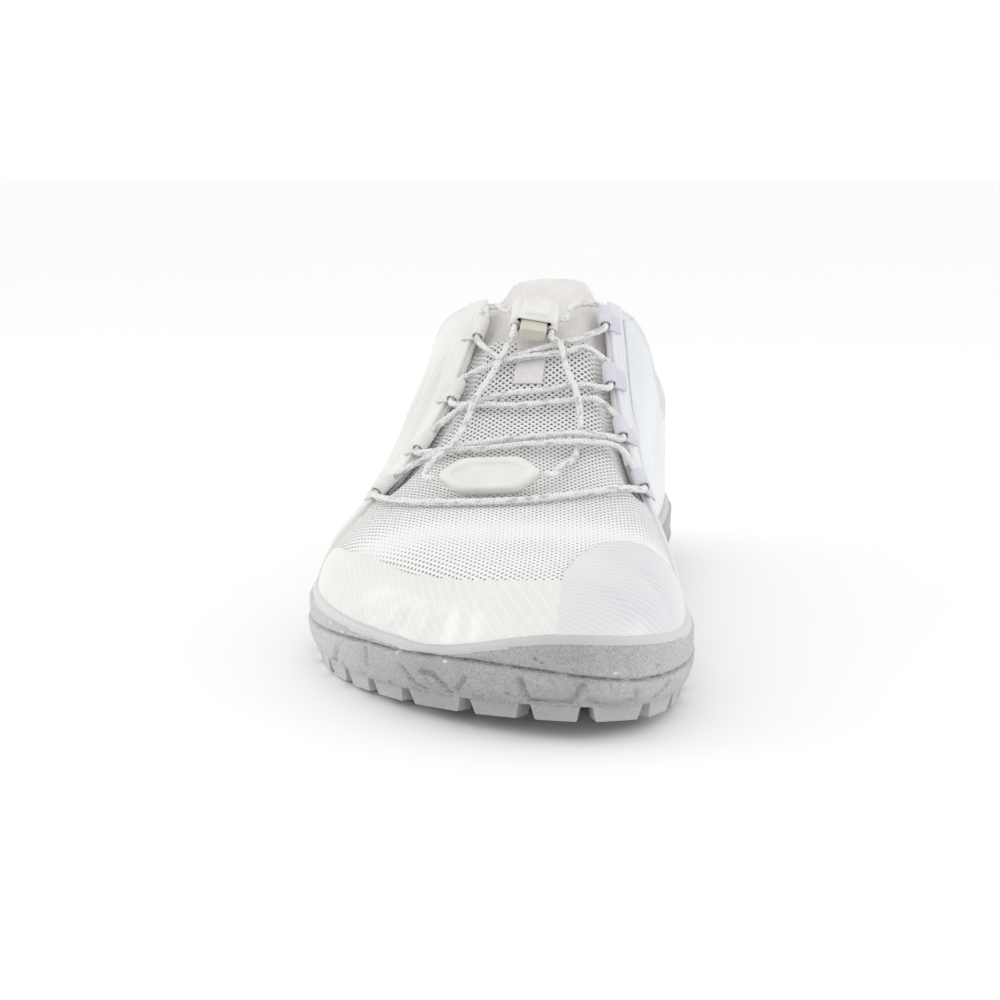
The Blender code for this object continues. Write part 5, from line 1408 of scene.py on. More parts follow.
close = np.array([0, 0.0012, 0.0026, 0.0045, 0.0062, 0.0072, 0.0082, 0.0098, 0.0125, 0.017, 0.024])
tongue_rows = np.r_[TONGUE_TOP + close, np.linspace(TONGUE_TOP + 0.03, THROAT_END - 0.002, 62)]
tongue_columns = np.r_[-1, -0.985, -0.96, -0.93, np.linspace(-0.90, 0.90, 41), 0.93, 0.96, 0.985, 1]
r, c = np.meshgrid(tongue_rows, tongue_columns, indexing="ij")
side = np.where(c > 0, MEDIAL, LATERAL)
middle = ridge_x(r)
x = middle + (tongue_half(r, side) - middle) * np.abs(c)
at = r + 0.034 * unit(1 - (r - TONGUE_TOP) / 0.03) * np.abs(c) ** 2.4
from_top = path_lengths(np.stack([tongue_rows * LAST_LENGTH * 0.9, 0 * tongue_rows], -1))[:, None]
seam = np.exp(-((from_top - 0.0021) / 0.0004) ** 2)
pad = TONGUE_PAD * unit((0.44 - r) / 0.06) * (1 - c**4)
crowned = 0.0011 * unit((0.385 - r) / 0.06) * unit(from_top / 0.006) * (1 - c**4)
sunk = 0.00085 * unit((r - 0.400) / 0.01)
rise = edge_rise(*r.shape)
base = tongue_level(at, x)
high_level = base - TONGUE_THICK * 0.6 * (1 - rise) + crowned * rise - 0.00055 * seam - sunk
high_level += 0.00012 * np.sin(x * 420) * np.sin(at * 150) * unit((0.40 - r) / 0.05)
high, _ = over_skin(x, at, high_level)
low, _ = over_skin(x, at, base - TONGUE_THICK - pad + TONGUE_THICK * 0.3 * (1 - rise))
tongue = shell("padded_tongue", high, low, [tongue_cloth], angle=60)
# Where the mesh lies over the tongue, the tongue's top is painted shade, which shows dark through the holes.
tongue.data.materials.append(shade_under_mesh)
covered = LAST_LENGTH / 2 + ROOT_SHIFT[1] - TONGUE_CLOTH_END * LAST_LENGTH
for face in tongue.data.polygons:
    face.material_index = int(face.center.y < covered and face.normal.z > 0.2)
dress(tongue, "tongue")

# %% Woven strap down the tongue
STRAP_ENDS = (0.372, 0.466)
STRAP_HALF = 0.0048
STRAP_MIDDLE = -0.0032
STRAP_RIB = 0.0042
strap_rows = np.linspace(*STRAP_ENDS, 46)
strap_columns = np.array([-1, -0.97, -0.85, -0.6, -0.3, 0, 0.3, 0.6, 0.85, 0.97, 1]) * STRAP_HALF
r, c = np.meshgrid(strap_rows, strap_columns, indexing="ij")
strap_thick = 0.0007 * edge_rise(*r.shape) + 0.00012 * np.cos(r * LAST_LENGTH * 2 * math.pi / STRAP_RIB)
x = STRAP_MIDDLE + c
high, _ = over_skin(x, r, GAP + strap_thick)
low, _ = over_skin(x, r, GAP + 0 * r)
strap = shell("tongue_tape", high, low, [strap_tape])
dress(strap, "tongue_strap")

# %% Footbed
bed_shares = np.r_[0.004, 0.012, np.linspace(0.03, 0.97, 70), 0.988, 0.996]
bed_columns = np.r_[0, 0.01, 0.03, np.linspace(0.07, 0.93, 17), 0.97, 0.99, 1]
r, c = np.meshgrid(bed_shares, bed_columns, indexing="ij")
BED_THICK = 0.0029
wall_inset = UPPER_WALL + 0.0009
ends_in = unit(np.minimum(r, 1 - r) * LAST_LENGTH / 0.02) ** 0.5
left = edge_x(r, LATERAL) + wall_inset / np.maximum(ends_in, 0.4)
right = edge_x(r, MEDIAL) - wall_inset / np.maximum(ends_in, 0.4)
x = left + np.maximum(right - left, 0.0002) * c
y = wall_inset + 0.0002 + (LAST_LENGTH - 2 * wall_inset - 0.0004) * r
curl = 0.0006 * np.abs(2 * c - 1) ** 6
low = np.stack([x, y, floor_z(y / LAST_LENGTH) + GAP], -1)
high = np.stack([x, y, floor_z(y / LAST_LENGTH) + GAP + BED_THICK * edge_rise(*r.shape) + curl], -1)
footbed = shell("footbed", high, low, [footbed_cloth])
dress(footbed, "insole")

# %% [markdown]
# ## Lace, loops and cord lock
# Each loop is a tape folded round the lace and sewn flat on its strip. The lace is one cord through
# all of them: its route is the frame's own, repeated as listed points over the skin.

# %% Folded tape loops
LOOP_PLACES = {MEDIAL: (0.380, 0.446, 0.516, 0.602), LATERAL: (0.396, 0.468, 0.541, 0.616)}
LOOP_BORE = 0.00150
LOOP_WALL = 0.00075
LOOP_LENGTH = 0.0080
LOOP_TAIL = 0.0042
LOOP_LEVEL = 0.0026
LACE_STUB = 0.0016
STACK_GAP = GAP + FILM_THICK + GAP


def facing_frame(along, side):
    """Edge point of the facing, with the directions along it, into the throat and outward."""
    def edge(at):
        return skin(at, side, turn_at_x(at, side, facing_x(at, side)))

    run = edge(along + 0.004) - edge(along - 0.004)
    run /= np.linalg.norm(run)
    outward = over_skin(facing_x(along, side) - side * 0.001, along, 0.0)[1]
    outward = outward - run * np.dot(run, outward)
    outward /= np.linalg.norm(outward)
    return edge(along), run, np.cross(outward, run) * side, outward


def loop_centre(along, side):
    edge, _, inward, outward = facing_frame(along, side)
    return edge + inward * (LOOP_BORE + LOOP_WALL + GAP) + outward * LOOP_LEVEL


def tape_fold():
    """Middle line of the folded tape and its half thickness, in the plane across the facing."""
    radius = LOOP_BORE + LOOP_WALL / 2
    seat = STACK_GAP - LOOP_LEVEL
    ends = (seat + LOOP_WALL * 0.75, seat + LOOP_WALL * 0.25)
    reach = -(LOOP_BORE + LOOP_WALL + LOOP_TAIL)
    start = math.pi - math.asin(ends[0] / radius)
    stop = -math.pi - math.asin(ends[1] / radius)
    turns = np.linspace(start, stop, 40)
    bow = np.stack([radius * np.cos(turns), radius * np.sin(turns)], -1)
    flat = np.linspace(reach, -radius * 1.02, 12)
    line = np.vstack([np.stack([flat, 0 * flat + ends[0]], -1), bow[1:-1],
                      np.stack([flat[::-1], 0 * flat + ends[1]], -1)])
    near = unit((line[:, 0] + radius * 1.3) / (radius * 0.8))
    return line, 0.5 * (LOOP_WALL * 0.48 + (LOOP_WALL * 0.95 - LOOP_WALL * 0.48) * near)


def tape_loop(name, along, side, look):
    """Tape folded round the lace, its two ends flat on the strip along the facing."""
    _, run, inward, outward = facing_frame(along, side)
    centre = loop_centre(along, side)
    line, half = tape_fold()
    step = np.gradient(line, axis=0)
    step /= np.linalg.norm(step, axis=1, keepdims=True)
    square = np.stack([step[:, 1], -step[:, 0]], -1)
    stations = np.array([-0.5, -0.485, -0.45, -0.3, -0.1, 0.1, 0.3, 0.45, 0.485, 0.5])
    full = np.array([0.45, 0.85, 1, 1, 1, 1, 1, 1, 0.85, 0.45])
    grids = []
    for sign in (1, -1):
        flat = line[None] + sign * square[None] * (half[None] * full[:, None])[..., None]
        point = centre + flat[..., :1] * inward + flat[..., 1:] * outward
        grids.append(point + run * (LOOP_LENGTH * stations)[:, None, None])
    return shell(name, grids[0], grids[1], [look], angle=60)


loop_looks = {MEDIAL: (lilac_tape, "lilac_tape"), LATERAL: (cream_tape, "cream_tape")}
for side in SIDES:
    for number, along in enumerate(LOOP_PLACES[side], 1):
        look, slot = loop_looks[side]
        node = f"lace_loop_{SIDE_NAMES[side]}_{number}"
        loop = tape_loop("folded_" + node, along, side, look)
        dress(loop, node)

# %% Lace strands between the loops: place across (mm), share along, level (mm)
STRANDS = {
    ("lock_medial", "medial_1"): [(8.6, 0.372, 3.6), (13.2, 0.361, 3.6)],
    ("lateral_1", "lock_lateral"): [(-18.6, 0.365, 3.6), (-15.6, 0.371, 4.4)],
    ("medial_1", "lateral_2"): [(12.0, 0.414, 3.0), (-2.0, 0.431, 3.1), (-13.0, 0.444, 2.8)],
    ("lateral_2", "medial_3"): [(-13.5, 0.505, 2.7), (-5.0, 0.508, 2.6), (9.6, 0.500, 2.6),
                                (19.0, 0.492, 2.7)],
    ("medial_3", "lateral_4"): [(24.0, 0.555, 3.4), (15.5, 0.566, 4.3), (1.9, 0.568, 3.0),
                                (-13.8, 0.574, 2.4), (-25.0, 0.580, 2.6)],
    ("lateral_4", "bar"): [(-35.0, 0.686, 1.8), (-26.0, 0.710, 1.6), (-14.5, 0.721, 1.6), (-3.0, 0.721, 1.6)],
    ("bar", "medial_4"): [(5.0, 0.716, 1.6), (15.0, 0.703, 1.7), (25.0, 0.684, 1.9), (31.0, 0.664, 2.4)],
    ("medial_4", "lateral_3"): [(27.0, 0.566, 3.0), (18.3, 0.582, 4.2), (1.2, 0.584, 3.0),
                                (-13.3, 0.587, 2.4), (-24.0, 0.580, 2.6)],
    ("lateral_3", "medial_2"): [(-21.0, 0.500, 2.7), (-10.1, 0.490, 2.6), (2.7, 0.483, 2.6),
                                (14.0, 0.474, 2.8)],
    ("medial_2", "lateral_1"): [(13.7, 0.424, 2.8), (9.2, 0.431, 3.0), (-1.8, 0.438, 3.1),
                                (-12.0, 0.440, 2.9)],
}
LACE_STOPS = ("lock_medial", "medial_1", "lateral_2", "medial_3", "lateral_4", "bar",
              "medial_4", "lateral_3", "medial_2", "lateral_1", "lock_lateral")


def lock_mouth(side):
    """Two points of the lace at a mouth of the lock, at its wall and a little further out."""
    across = [side * (LOCK_WIDTH / 2 + GAP + LACE_RADIUS * reach) for reach in (0.0, 1.6)]
    return [lock_place(x, -LOCK_LENGTH * 0.18, LOCK_HEIGHT * 0.42) for x in across]


def loop_pass(name, toward_toe):
    """Points of the lace through a loop, in the order in which it passes."""
    side_name, number = name.split("_")
    side = MEDIAL if side_name == "medial" else LATERAL
    along = LOOP_PLACES[side][int(number) - 1]
    _, run, inward, _ = facing_frame(along, side)
    centre = loop_centre(along, side)
    half = LOOP_LENGTH / 2
    points = [centre - run * (half + LACE_STUB) + inward * LACE_STUB / 3, centre - run * half,
              centre + run * half, centre + run * (half + LACE_STUB) + inward * LACE_STUB / 3]
    return points if toward_toe else points[::-1]


lace_points = lock_mouth(MEDIAL)
for k, stop in enumerate(LACE_STOPS[1:], 1):
    strand = STRANDS[(LACE_STOPS[k - 1], stop)]
    lace_points += [over_skin(x / 1000, along, level / 1000)[0] for x, along, level in strand]
    if stop.startswith(("medial", "lateral")):
        lace_points += loop_pass(stop, k < 5)
lace_points += lock_mouth(LATERAL)[::-1]
lace_path = open_curve(lace_points, 14)
lace_path = evenly(lace_path, int(path_lengths(lace_path)[-1] / CORD_STEP))
lace = braided_tube("elastic_lace", lace_path, LACE_RADIUS, 0.075, [white_cord])
dress(lace, "lace")
print("lace between the mouths of the lock:", round(path_lengths(lace_path)[-1] * 1000), "mm")


# %% Lofts of rounded outlines
def rounded_outline(points, radius, steps=5):
    """Closed outline with its corners rounded by a radius."""
    p = np.array(points, float)
    outline = []
    for k in range(len(p)):
        back, here, ahead = p[k - 1], p[k], p[(k + 1) % len(p)]
        to_back = (back - here) / np.linalg.norm(back - here)
        to_ahead = (ahead - here) / np.linalg.norm(ahead - here)
        start, end = here + to_back * radius, here + to_ahead * radius
        for t in np.linspace(0, 1, steps):
            outline.append((1 - t) ** 2 * start + 2 * t * (1 - t) * here + t**2 * end)
    return np.array(outline)


def box_outline(wide, high, radius, steps=5):
    return rounded_outline([(wide, high), (-wide, high), (-wide, -high), (wide, -high)], radius, steps)


def loft(name, rings, looks, face_looks=None, angle=45):
    """Closed mesh through rings of points, with flat ends."""
    rings = np.array(rings)
    rows, columns = rings.shape[:2]
    faces = grid_quads(rows, columns, 0, True)
    kinds = [0] * len(faces) if face_looks is None else [k for k in face_looks for _ in range(columns)]
    faces += [list(reversed(range(columns))), [(rows - 1) * columns + k for k in range(columns)]]
    u = np.broadcast_to(path_lengths(np.vstack([rings[0], rings[0][:1]]))[:-1], (rows, columns))
    v = np.broadcast_to(np.arange(rows)[:, None] * 0.001, (rows, columns))
    kinds += [0, kinds[-1]]
    return finish_mesh(name, rings, faces, looks, np.stack([u, v], -1), angle=angle, face_look=kinds)


def join(name, parts):
    """One mesh object out of several, in the same place."""
    work = bmesh.new()
    looks = []
    for part in parts:
        first = len(work.faces)
        work.from_mesh(part.data)
        work.faces.ensure_lookup_table()
        shift = []
        for item in part.data.materials:
            if item not in looks:
                looks.append(item)
            shift.append(looks.index(item))
        for face in work.faces[first:]:
            face.material_index = shift[face.material_index] if shift else 0
        bpy.data.objects.remove(part)
    mesh = bpy.data.meshes.new(name)
    work.to_mesh(mesh)
    work.free()
    for item in looks:
        mesh.materials.append(item)
    return put_in(name, mesh)


# %% Cord lock: housing with a pocket and a raised pad
half_w, half_h = LOCK_WIDTH / 2, LOCK_HEIGHT / 2
# Sections of the housing: place downhill (mm), shares of its half width and half height
BODY = [(-5.0, 0.62, 0.50), (-4.9, 0.78, 0.68), (-4.5, 0.92, 0.86), (-3.8, 0.985, 0.96), (-2.5, 1.0, 1.0),
        (2.6, 1.0, 1.0), (3.8, 0.99, 0.98), (4.5, 0.96, 0.93), (4.9, 0.91, 0.86), (5.0, 0.87, 0.80)]
rings = []
for b, wide, high in BODY:
    flat = box_outline(half_w * wide, half_h * high, 0.0026 * wide, 7)
    rings.append(lock_place(flat[:, 0], b / 1000, half_h + flat[:, 1]))
# The pocket's sections, from its mouth inward: place downhill (mm) and widening
POCKET_HALF = (0.00555, 0.00280)
for b, grow in ((5.0, 1.05), (4.7, 1.0), (4.0, 1.0), (-3.8, 1.0)):
    flat = box_outline(POCKET_HALF[0] * grow, POCKET_HALF[1] * grow, 0.0010, 7)
    rings.append(lock_place(flat[:, 0], b / 1000, half_h + flat[:, 1]))
# The deepest band of the pocket and its floor are painted shade.
kinds = [0] * (len(BODY) + 1) + [0, 1]
body = loft("lock_body", rings, [cream_plastic, dark_hole], kinds)
pad_rings = []
for c, grow in ((-0.4, 1.10), (0.25, 1.06), (0.7, 1.0), (1.0, 0.95), (1.12, 0.88), (1.10, 0.72), (0.98, 0.5)):
    flat = box_outline(0.00425 * grow, 0.0037 * grow, 0.0017, 7)
    pad_rings.append(lock_place(flat[:, 0], flat[:, 1], LOCK_HEIGHT + c / 1000))
pad = loft("lock_pad", pad_rings, [cream_plastic])
eyes = []
for side in SIDES:
    centre_a = side * (LOCK_WIDTH / 2 - LOCK_WALL / 2 - TAIL_RADIUS)
    turns = np.linspace(0, 2 * math.pi, 25)[:-1]
    eye_rings = []
    for b, radius in ((4.2, 1.75), (5.05, 1.65), (5.22, 1.45), (5.16, 1.22), (4.6, 1.12)):
        eye_rings.append(lock_place(centre_a + radius / 1000 * np.cos(turns), b / 1000,
                                    TAIL_LEVEL + radius / 1000 * np.sin(turns)))
    # The bore of each eye is painted shade.
    eyes.append(loft("lock_eye", eye_rings, [cream_plastic, dark_hole], [0, 0, 0, 1]))
housing = join("cord_lock", [body, pad] + eyes)
dress(housing, "lock_housing")

# %% Its button, which slides into the pocket
BUTTON_HALF = (0.0044, 0.00245)
button_rings = []
for b, grow in ((-0.95, 0.90), (-0.6, 1.0), (7.6, 1.0), (8.3, 0.985), (8.7, 0.95), (8.92, 0.88), (8.98, 0.76),
                (8.90, 0.55)):
    flat = box_outline(BUTTON_HALF[0] * grow, BUTTON_HALF[1] * (1 + 0.6 * (grow - 1)), 0.0013, 7)
    button_rings.append(lock_place(flat[:, 0], b / 1000, half_h + flat[:, 1]))
button = loft("spring_button", button_rings, [beige_plastic])
dress(button, "lock_button", "lock_button")

# %% End clip: a soft six-sided plate with a sunk panel on its face
half, wide, thick = CLIP_LENGTH / 2, CLIP_WIDTH / 2, CLIP_THICK / 2
# Corners of the clip, then its sections: shares of half length, half width and half thickness
six = [(1.0, 0.0), (0.55, 1.0), (-0.55, 1.0), (-1.0, 0.0), (-0.55, -1.0), (0.55, -1.0)]
CLIP_RINGS = [(0.86, 0.74, -1.0), (0.93, 0.87, -0.96), (0.98, 0.96, -0.70), (1.0, 1.0, -0.2), (1.0, 1.0, 0.2),
              (0.985, 0.965, 0.70), (0.945, 0.895, 0.95), (0.90, 0.80, 1.0), (0.80, 0.66, 1.0),
              (0.77, 0.60, 0.92), (0.745, 0.56, 0.66), (0.72, 0.50, 0.62)]
clip_rings = []
for a, b, c in CLIP_RINGS:
    flat = rounded_outline([(half * a * u, wide * b * v) for u, v in six], 0.0024, 9)
    clip_rings.append(clip_place(flat[:, 0], flat[:, 1], c * thick + 0 * flat[:, 0]))
clip = loft("end_clip", clip_rings, [cream_plastic], angle=60)
dress(clip, "lace_end_clip")

for side in SIDES:
    tail, path, length = tails[side]
    dress(tail, "lace_end_" + SIDE_NAMES[side])
    world_path = to_world(path)
    points = [tuple(point) for point in world_path[::6]] + [tuple(world_path[-1])]

# %% [markdown]
# ## Cup sole
# One ring of columns runs round the feather line, and its rows climb the side: the edge over the lugs,
# the grained wall with its parting groove, and the smooth band at the rim. Slits and pockets are
# carved by distance to listed lines. The lugs are one bevelled block, bent round the edge.

# %% Ring of columns round the sole
RIM_THICK = 0.0018
RIM_BAND = 0.0025
# Level of the parting groove (mm) by the arc from the toe tip, the lateral side positive (mm)
GROOVE = np.array([(-70, 4.8), (-35, 4.2), (-16, 3.8), (-6, 4.6), (9.5, 6.3), (28, 7.6), (53, 7.2),
                   (70, 7.7), (110, 6.0), (150, 4.8)])
GROOVE_DEPTH = 0.0014
GROOVE_HALF = 0.00042
LUG_PITCH = 0.0150
LUG_SLOT = 0.0026
LUG_DEPTH = 0.0090
LUG_SINK = 0.0010
LUG_POCKET = 0.0009

front = np.arange(TOE_ARC - 0.100, TOE_ARC + 0.115, 0.00045)
back = np.arange(front[-1] + 0.0016, front[0] + RING_LENGTH - 0.0008, 0.0016) % RING_LENGTH
sole_arcs = np.r_[front, back]
sole_along, sole_side = ring_place(sole_arcs)
foot = skin(sole_along, sole_side, 0 * sole_along)
rim_tops, rim_normals = skin_frame(sole_along, sole_side, rim_turn(sole_along, sole_side))
rim = rim_height(sole_along, sole_side)
toe_arcs = (sole_arcs - TOE_ARC + RING_LENGTH / 2) % RING_LENGTH - RING_LENGTH / 2
groove_at = np.interp(toe_arcs * 1000, GROOVE[:, 0], GROOVE[:, 1]) / 1000


def plan_direction(arcs):
    """Outward directions in plan round the feather line, smoothed over a few millimetres."""
    def plan(at):
        at = at % RING_LENGTH
        return np.stack([np.interp(at, RING_ARC, RING_PATH[:, 0]),
                         np.interp(at, RING_ARC, RING_PATH[:, 1]) * LAST_LENGTH], -1)
    ahead = plan(arcs + 0.003) - plan(arcs - 0.003)
    outward = np.stack([ahead[:, 1], -ahead[:, 0]], -1)
    return outward / np.linalg.norm(outward, axis=1, keepdims=True)


plan_out = plan_direction(sole_arcs)


def side_bulge(level, rim):
    """How far the sole's side stands out from the foot's floor, without carving."""
    share = unit((level + BASE_THICK) / (groove_at + BASE_THICK))
    lower = 0.0002 + 0.0030 * np.sin(share * math.pi / 2) ** 0.8
    groove = GROOVE_DEPTH * np.exp(-((level - groove_at) / GROOVE_HALF) ** 2)
    groove = groove - 0.0004 * unit((groove_at - level) / 0.0006)
    into_band = unit((level - (rim - RIM_BAND)) / 0.0005)
    into_band = into_band * into_band * (3 - 2 * into_band)
    swell = 0.0004 * unit((level - groove_at) / np.maximum(rim - RIM_BAND - groove_at, 0.001))
    edge_soft = 0.0009 * unit((level - (rim - 0.0008)) / 0.0008) ** 2
    seam = 0.0006 * np.exp(-((level - (rim - RIM_BAND)) / 0.00035) ** 2)
    return lower - groove + swell * (1 - into_band) - 0.0007 * into_band - edge_soft - seam


def side_points(level, carve=0.0):
    """Points of the sole's side at a level over the foot's floor, one for each ring column."""
    lean = unit(level / rim)
    plan = foot[:, :2] + (rim_tops[:, :2] - foot[:, :2]) * lean[..., None]
    plan = plan + plan_out * (side_bulge(level, rim) + carve)[..., None]
    rise = np.where(level > 0, (rim_tops[:, 2] - GAP - foot[:, 2]) / rim, 1.0)
    return np.concatenate([plan, (foot[:, 2] + level * rise)[..., None]], -1)


# %% Carved slits and pockets
# Slits: path by the arc from the toe tip and the level, then half width and depth (mm)
SLITS = [
    ([(69.8, 5.7), (70.2, 0.8)], 0.65, 1.2),
    ([(52.2, 2.9), (48.2, -1.2), (42.3, -3.3)], 0.7, 1.5),
    ([(45.0, 2.7), (40.5, 2.6), (36.5, -0.9), (34.7, -3.3)], 0.7, 1.5),
    ([(29.7, 2.7), (31.1, 1.1), (32.9, -1.0)], 0.65, 1.2),
    ([(13.5, 3.5), (11.7, -2.0), (6.3, -2.0), (0.5, -1.6), (-2.2, 3.0)], 0.7, 1.4),
    ([(-3.6, -1.0), (-6.7, -2.6), (-10.8, -2.3), (-14.4, -1.4)], 0.7, 1.4),
    ([(-14.8, 1.2), (-16.2, -2.3)], 0.65, 1.2),
    ([(-22.9, -2.3), (-28.3, 2.0)], 0.7, 1.4),
    ([(-44.0, -2.5), (-49.0, 2.2), (-56.0, 2.4)], 0.7, 1.4),
    ([(88.0, 2.6), (92.0, -1.5), (98.0, -2.8)], 0.7, 1.4),
]
# Pockets: arc, level and half sizes, then depth (mm)
POCKETS = [((at, -2.6, 1.7, 0.8), 0.7) for at in (86, 74, 59, 48, 26, 8, 3, -8.5, -34, -52, -66)]
# Chalk or dirt on the side: arc and level of its middle, its half sizes (mm), and strength
SPOTS = [
    (54.9, 7.0, 0.59, 0.39, 1.0), (49.5, 7.7, 0.45, 0.33, 1.0), (36.0, 6.7, 0.65, 0.33, 0.9),
    (-10.3, 6.0, 0.78, 0.33, 0.7), (92.7, 9.5, 1.04, 0.45, 0.8), (84.2, 8.3, 0.78, 0.39, 0.8),
    (9.5, 9.2, 0.52, 0.39, -0.9), (7.7, 8.4, 0.45, 0.33, -0.8), (17.1, -0.3, 0.52, 0.45, -0.8),
    (60.0, 5.2, 0.52, 0.33, -0.5), (-24.0, 7.0, 0.91, 0.33, -0.4), (24.0, 8.6, 1.17, 0.26, -0.35),
]


def crease_flat(a, h, path, width, deep):
    """Depth of a slit along a path, by distance to its nearest stretch."""
    path = np.array(path, float)
    nearest = np.full(np.broadcast(a, h).shape, 99.0)
    for start, end in zip(path[:-1], path[1:]):
        run = end - start
        t = unit(((a - start[0]) * run[0] + (h - start[1]) * run[1]) / np.dot(run, run))
        nearest = np.minimum(nearest, np.hypot(a - start[0] - t * run[0], h - start[1] - t * run[1]))
    return deep * np.exp(-(nearest / width) ** 2)


def carving(arcs, level):
    """Depth of all slits and pockets together, nought or less, in metres."""
    a, h = (arcs - TOE_ARC) * 1000, level * 1000
    depth = 0 * (a + h)
    for path, width, deep in SLITS:
        depth = np.minimum(depth, -abs(crease_flat(a, h, path, width, deep)))
    for (at, up, wide, high), deep in POCKETS:
        inside = unit(1.6 - 1.6 * np.maximum(abs(a - at) / wide, abs(h - up) / high))
        depth = np.minimum(depth, -deep * unit(inside * 2))
    return depth / 1000


def wear_at(arcs, level):
    """Chalk in the groove and in patches above one, dirt below nought."""
    a, h = arcs * 1000, level * 1000
    chalky = 0.5 + 0.5 * np.sin(a * 0.61) * np.sin(a * 0.23 + 1.0)
    wear = 0.7 * chalky**5 * np.exp(-((level - groove_at) / 0.00038) ** 2)
    for at, up, wide, high, strength in SPOTS:
        wear = wear + strength * np.exp(-((a - at) / wide) ** 4 - ((h - up) / high) ** 4)
    return wear


share_rows = np.linspace(0, 1, 58)
levels = -BASE_THICK + (rim[None, :] + BASE_THICK) * share_rows[:, None]
carved = carving(sole_arcs[None, :], levels)
side_grid = side_points(levels, carved)
lip = rim_tops + rim_normals * GAP
lip[:, 2] = side_grid[-1, :, 2]
inner_rows = []
for share in (0.8, 0.5, 0.2, 0.0):
    down_turn = np.maximum(rim_turn(sole_along, sole_side) * share, 1e-4)
    down, facing = skin_frame(sole_along, sole_side, down_turn)
    inner_rows.append(down + facing * GAP)
lip_mid = side_grid[-1] * 0.45 + lip * 0.55
lip_mid[:, 2] += 0.00025
sole_rings = np.concatenate([side_grid, lip_mid[None], lip[None], np.array(inner_rows)])
rows, columns = sole_rings.shape[:2]
faces = grid_quads(rows, columns, 0, True)
kinds = np.zeros(len(faces), int)
# Faces in the rim band take the paler rubber: painted light.
high_enough = (levels > rim[None, :] - RIM_BAND + 0.0001)
for r in range(rows - 1):
    kinds[r * columns:(r + 1) * columns] = high_enough[r] if r < len(share_rows) else 1
order = np.argsort(sole_arcs)


def floor_strips(first):
    """Faces across the shoe between ring columns with the same share along."""
    medial = [k for k in order if sole_side[k] == MEDIAL]
    lateral = [k for k in order if sole_side[k] == LATERAL][::-1]
    strips = []
    i = j = 0
    while i < len(medial) - 1 or j < len(lateral) - 1:
        step_medial = j == len(lateral) - 1 or (i < len(medial) - 1 and
                                                sole_along[medial[i + 1]] <= sole_along[lateral[j + 1]])
        if step_medial:
            strips.append([first + medial[i], first + medial[i + 1], first + lateral[j]])
            i += 1
        else:
            strips.append([first + medial[i], first + lateral[j + 1], first + lateral[j]])
            j += 1
    return strips


caps = floor_strips(0) + floor_strips((rows - 1) * columns)
faces += caps
kinds = list(kinds) + [0] * len(caps)
uv = np.stack(np.broadcast_arrays(sole_arcs[None, :], np.arange(rows)[:, None] * 0.0003), -1)
wear = np.zeros((rows, columns))
wear[:len(share_rows)] = wear_at(toe_arcs[None, :], levels)
cup = finish_mesh("cup_sole", sole_rings, faces, [side_rubber, lit_band_rubber], uv, 0.0, 60, kinds, wear)
dress(cup, "outsole")

# %% Edge lugs: one bevelled block with a pocket in its face, bent round the edge
def lug_template(width, depth, height, pocket):
    """Corners of a bevelled block with a shallow pocket, as shares of its width, depth and height."""
    work = bmesh.new()
    bmesh.ops.create_cube(work, size=1.0)
    bmesh.ops.scale(work, vec=(width, depth, height), verts=work.verts)
    outside = [face for face in work.faces if face.normal.y < -0.9]
    bmesh.ops.inset_region(work, faces=outside, thickness=pocket * 2.2, depth=-pocket)
    sharp = [edge for edge in work.edges if edge.calc_face_angle(0) > 0.8]
    bmesh.ops.bevel(work, geom=sharp, offset=0.00045, segments=2, affect="EDGES", profile=0.6)
    work.verts.ensure_lookup_table()
    points = np.array([vertex.co[:] for vertex in work.verts]) / [width, depth, height] + [0, 0.5, 0.5]
    faces = [[vertex.index for vertex in face.verts] for face in work.faces]
    work.free()
    return points, faces


edge_order = sole_arcs[order]
edge_loop = side_points(levels[0])[order][:, :2]
edge_loop = np.vstack([edge_loop, edge_loop[:1]])
edge_out = np.vstack([plan_out[order], plan_out[order][:1]])
edge_lengths = path_lengths(edge_loop)
# Arcs of the slots between lugs: as on the picture round the toe, then at an equal pitch
SLOT_ARCS = np.array([-39.0, -21.4, -3.0, 13.3, 31.3, 54.0, 71.5]) / 1000 + TOE_ARC
left_over = RING_LENGTH - (SLOT_ARCS[-1] - SLOT_ARCS[0])
more = round(left_over / LUG_PITCH)
slots = np.r_[SLOT_ARCS, SLOT_ARCS[-1] + left_over / more * np.arange(1, more + 1)]
turns_round = slots // RING_LENGTH
slots = np.interp(slots % RING_LENGTH, edge_order, edge_lengths[:-1]) + turns_round * edge_lengths[-1]
lug_count = len(slots) - 1
lug_high = LUG_HEIGHT + LUG_SINK
template, template_faces = lug_template(LUG_PITCH - LUG_SLOT, LUG_DEPTH, lug_high, LUG_POCKET)
lug_points, lug_faces = [], []
for k in range(lug_count):
    width = slots[k + 1] - slots[k] - LUG_SLOT
    taper = 0.82 + 0.18 * template[:, 2]
    along_edge = ((slots[k] + slots[k + 1]) / 2 + template[:, 0] * width * taper) % edge_lengths[-1]
    at = np.stack([np.interp(along_edge, edge_lengths, edge_loop[:, a]) for a in (0, 1)], -1)
    out = np.stack([np.interp(along_edge, edge_lengths, edge_out[:, a]) for a in (0, 1)], -1)
    deep = LUG_DEPTH * (1.0 if k % 2 else 0.72)
    slope = 0.0010 - 0.0013 * template[:, 2]
    plan = at - out * (deep * template[:, 1] + slope * (1 - template[:, 1]))[:, None]
    z = tread_z(np.minimum(plan[:, 1] / LAST_LENGTH, 1.0)) + template[:, 2] * lug_high
    lug_faces += [[corner + len(template) * k for corner in face] for face in template_faces]
    lug_points.append(np.c_[plan, z])
edge_lugs = finish_mesh("edge_lugs", np.vstack(lug_points), lug_faces, [lug_rubber], angle=35)
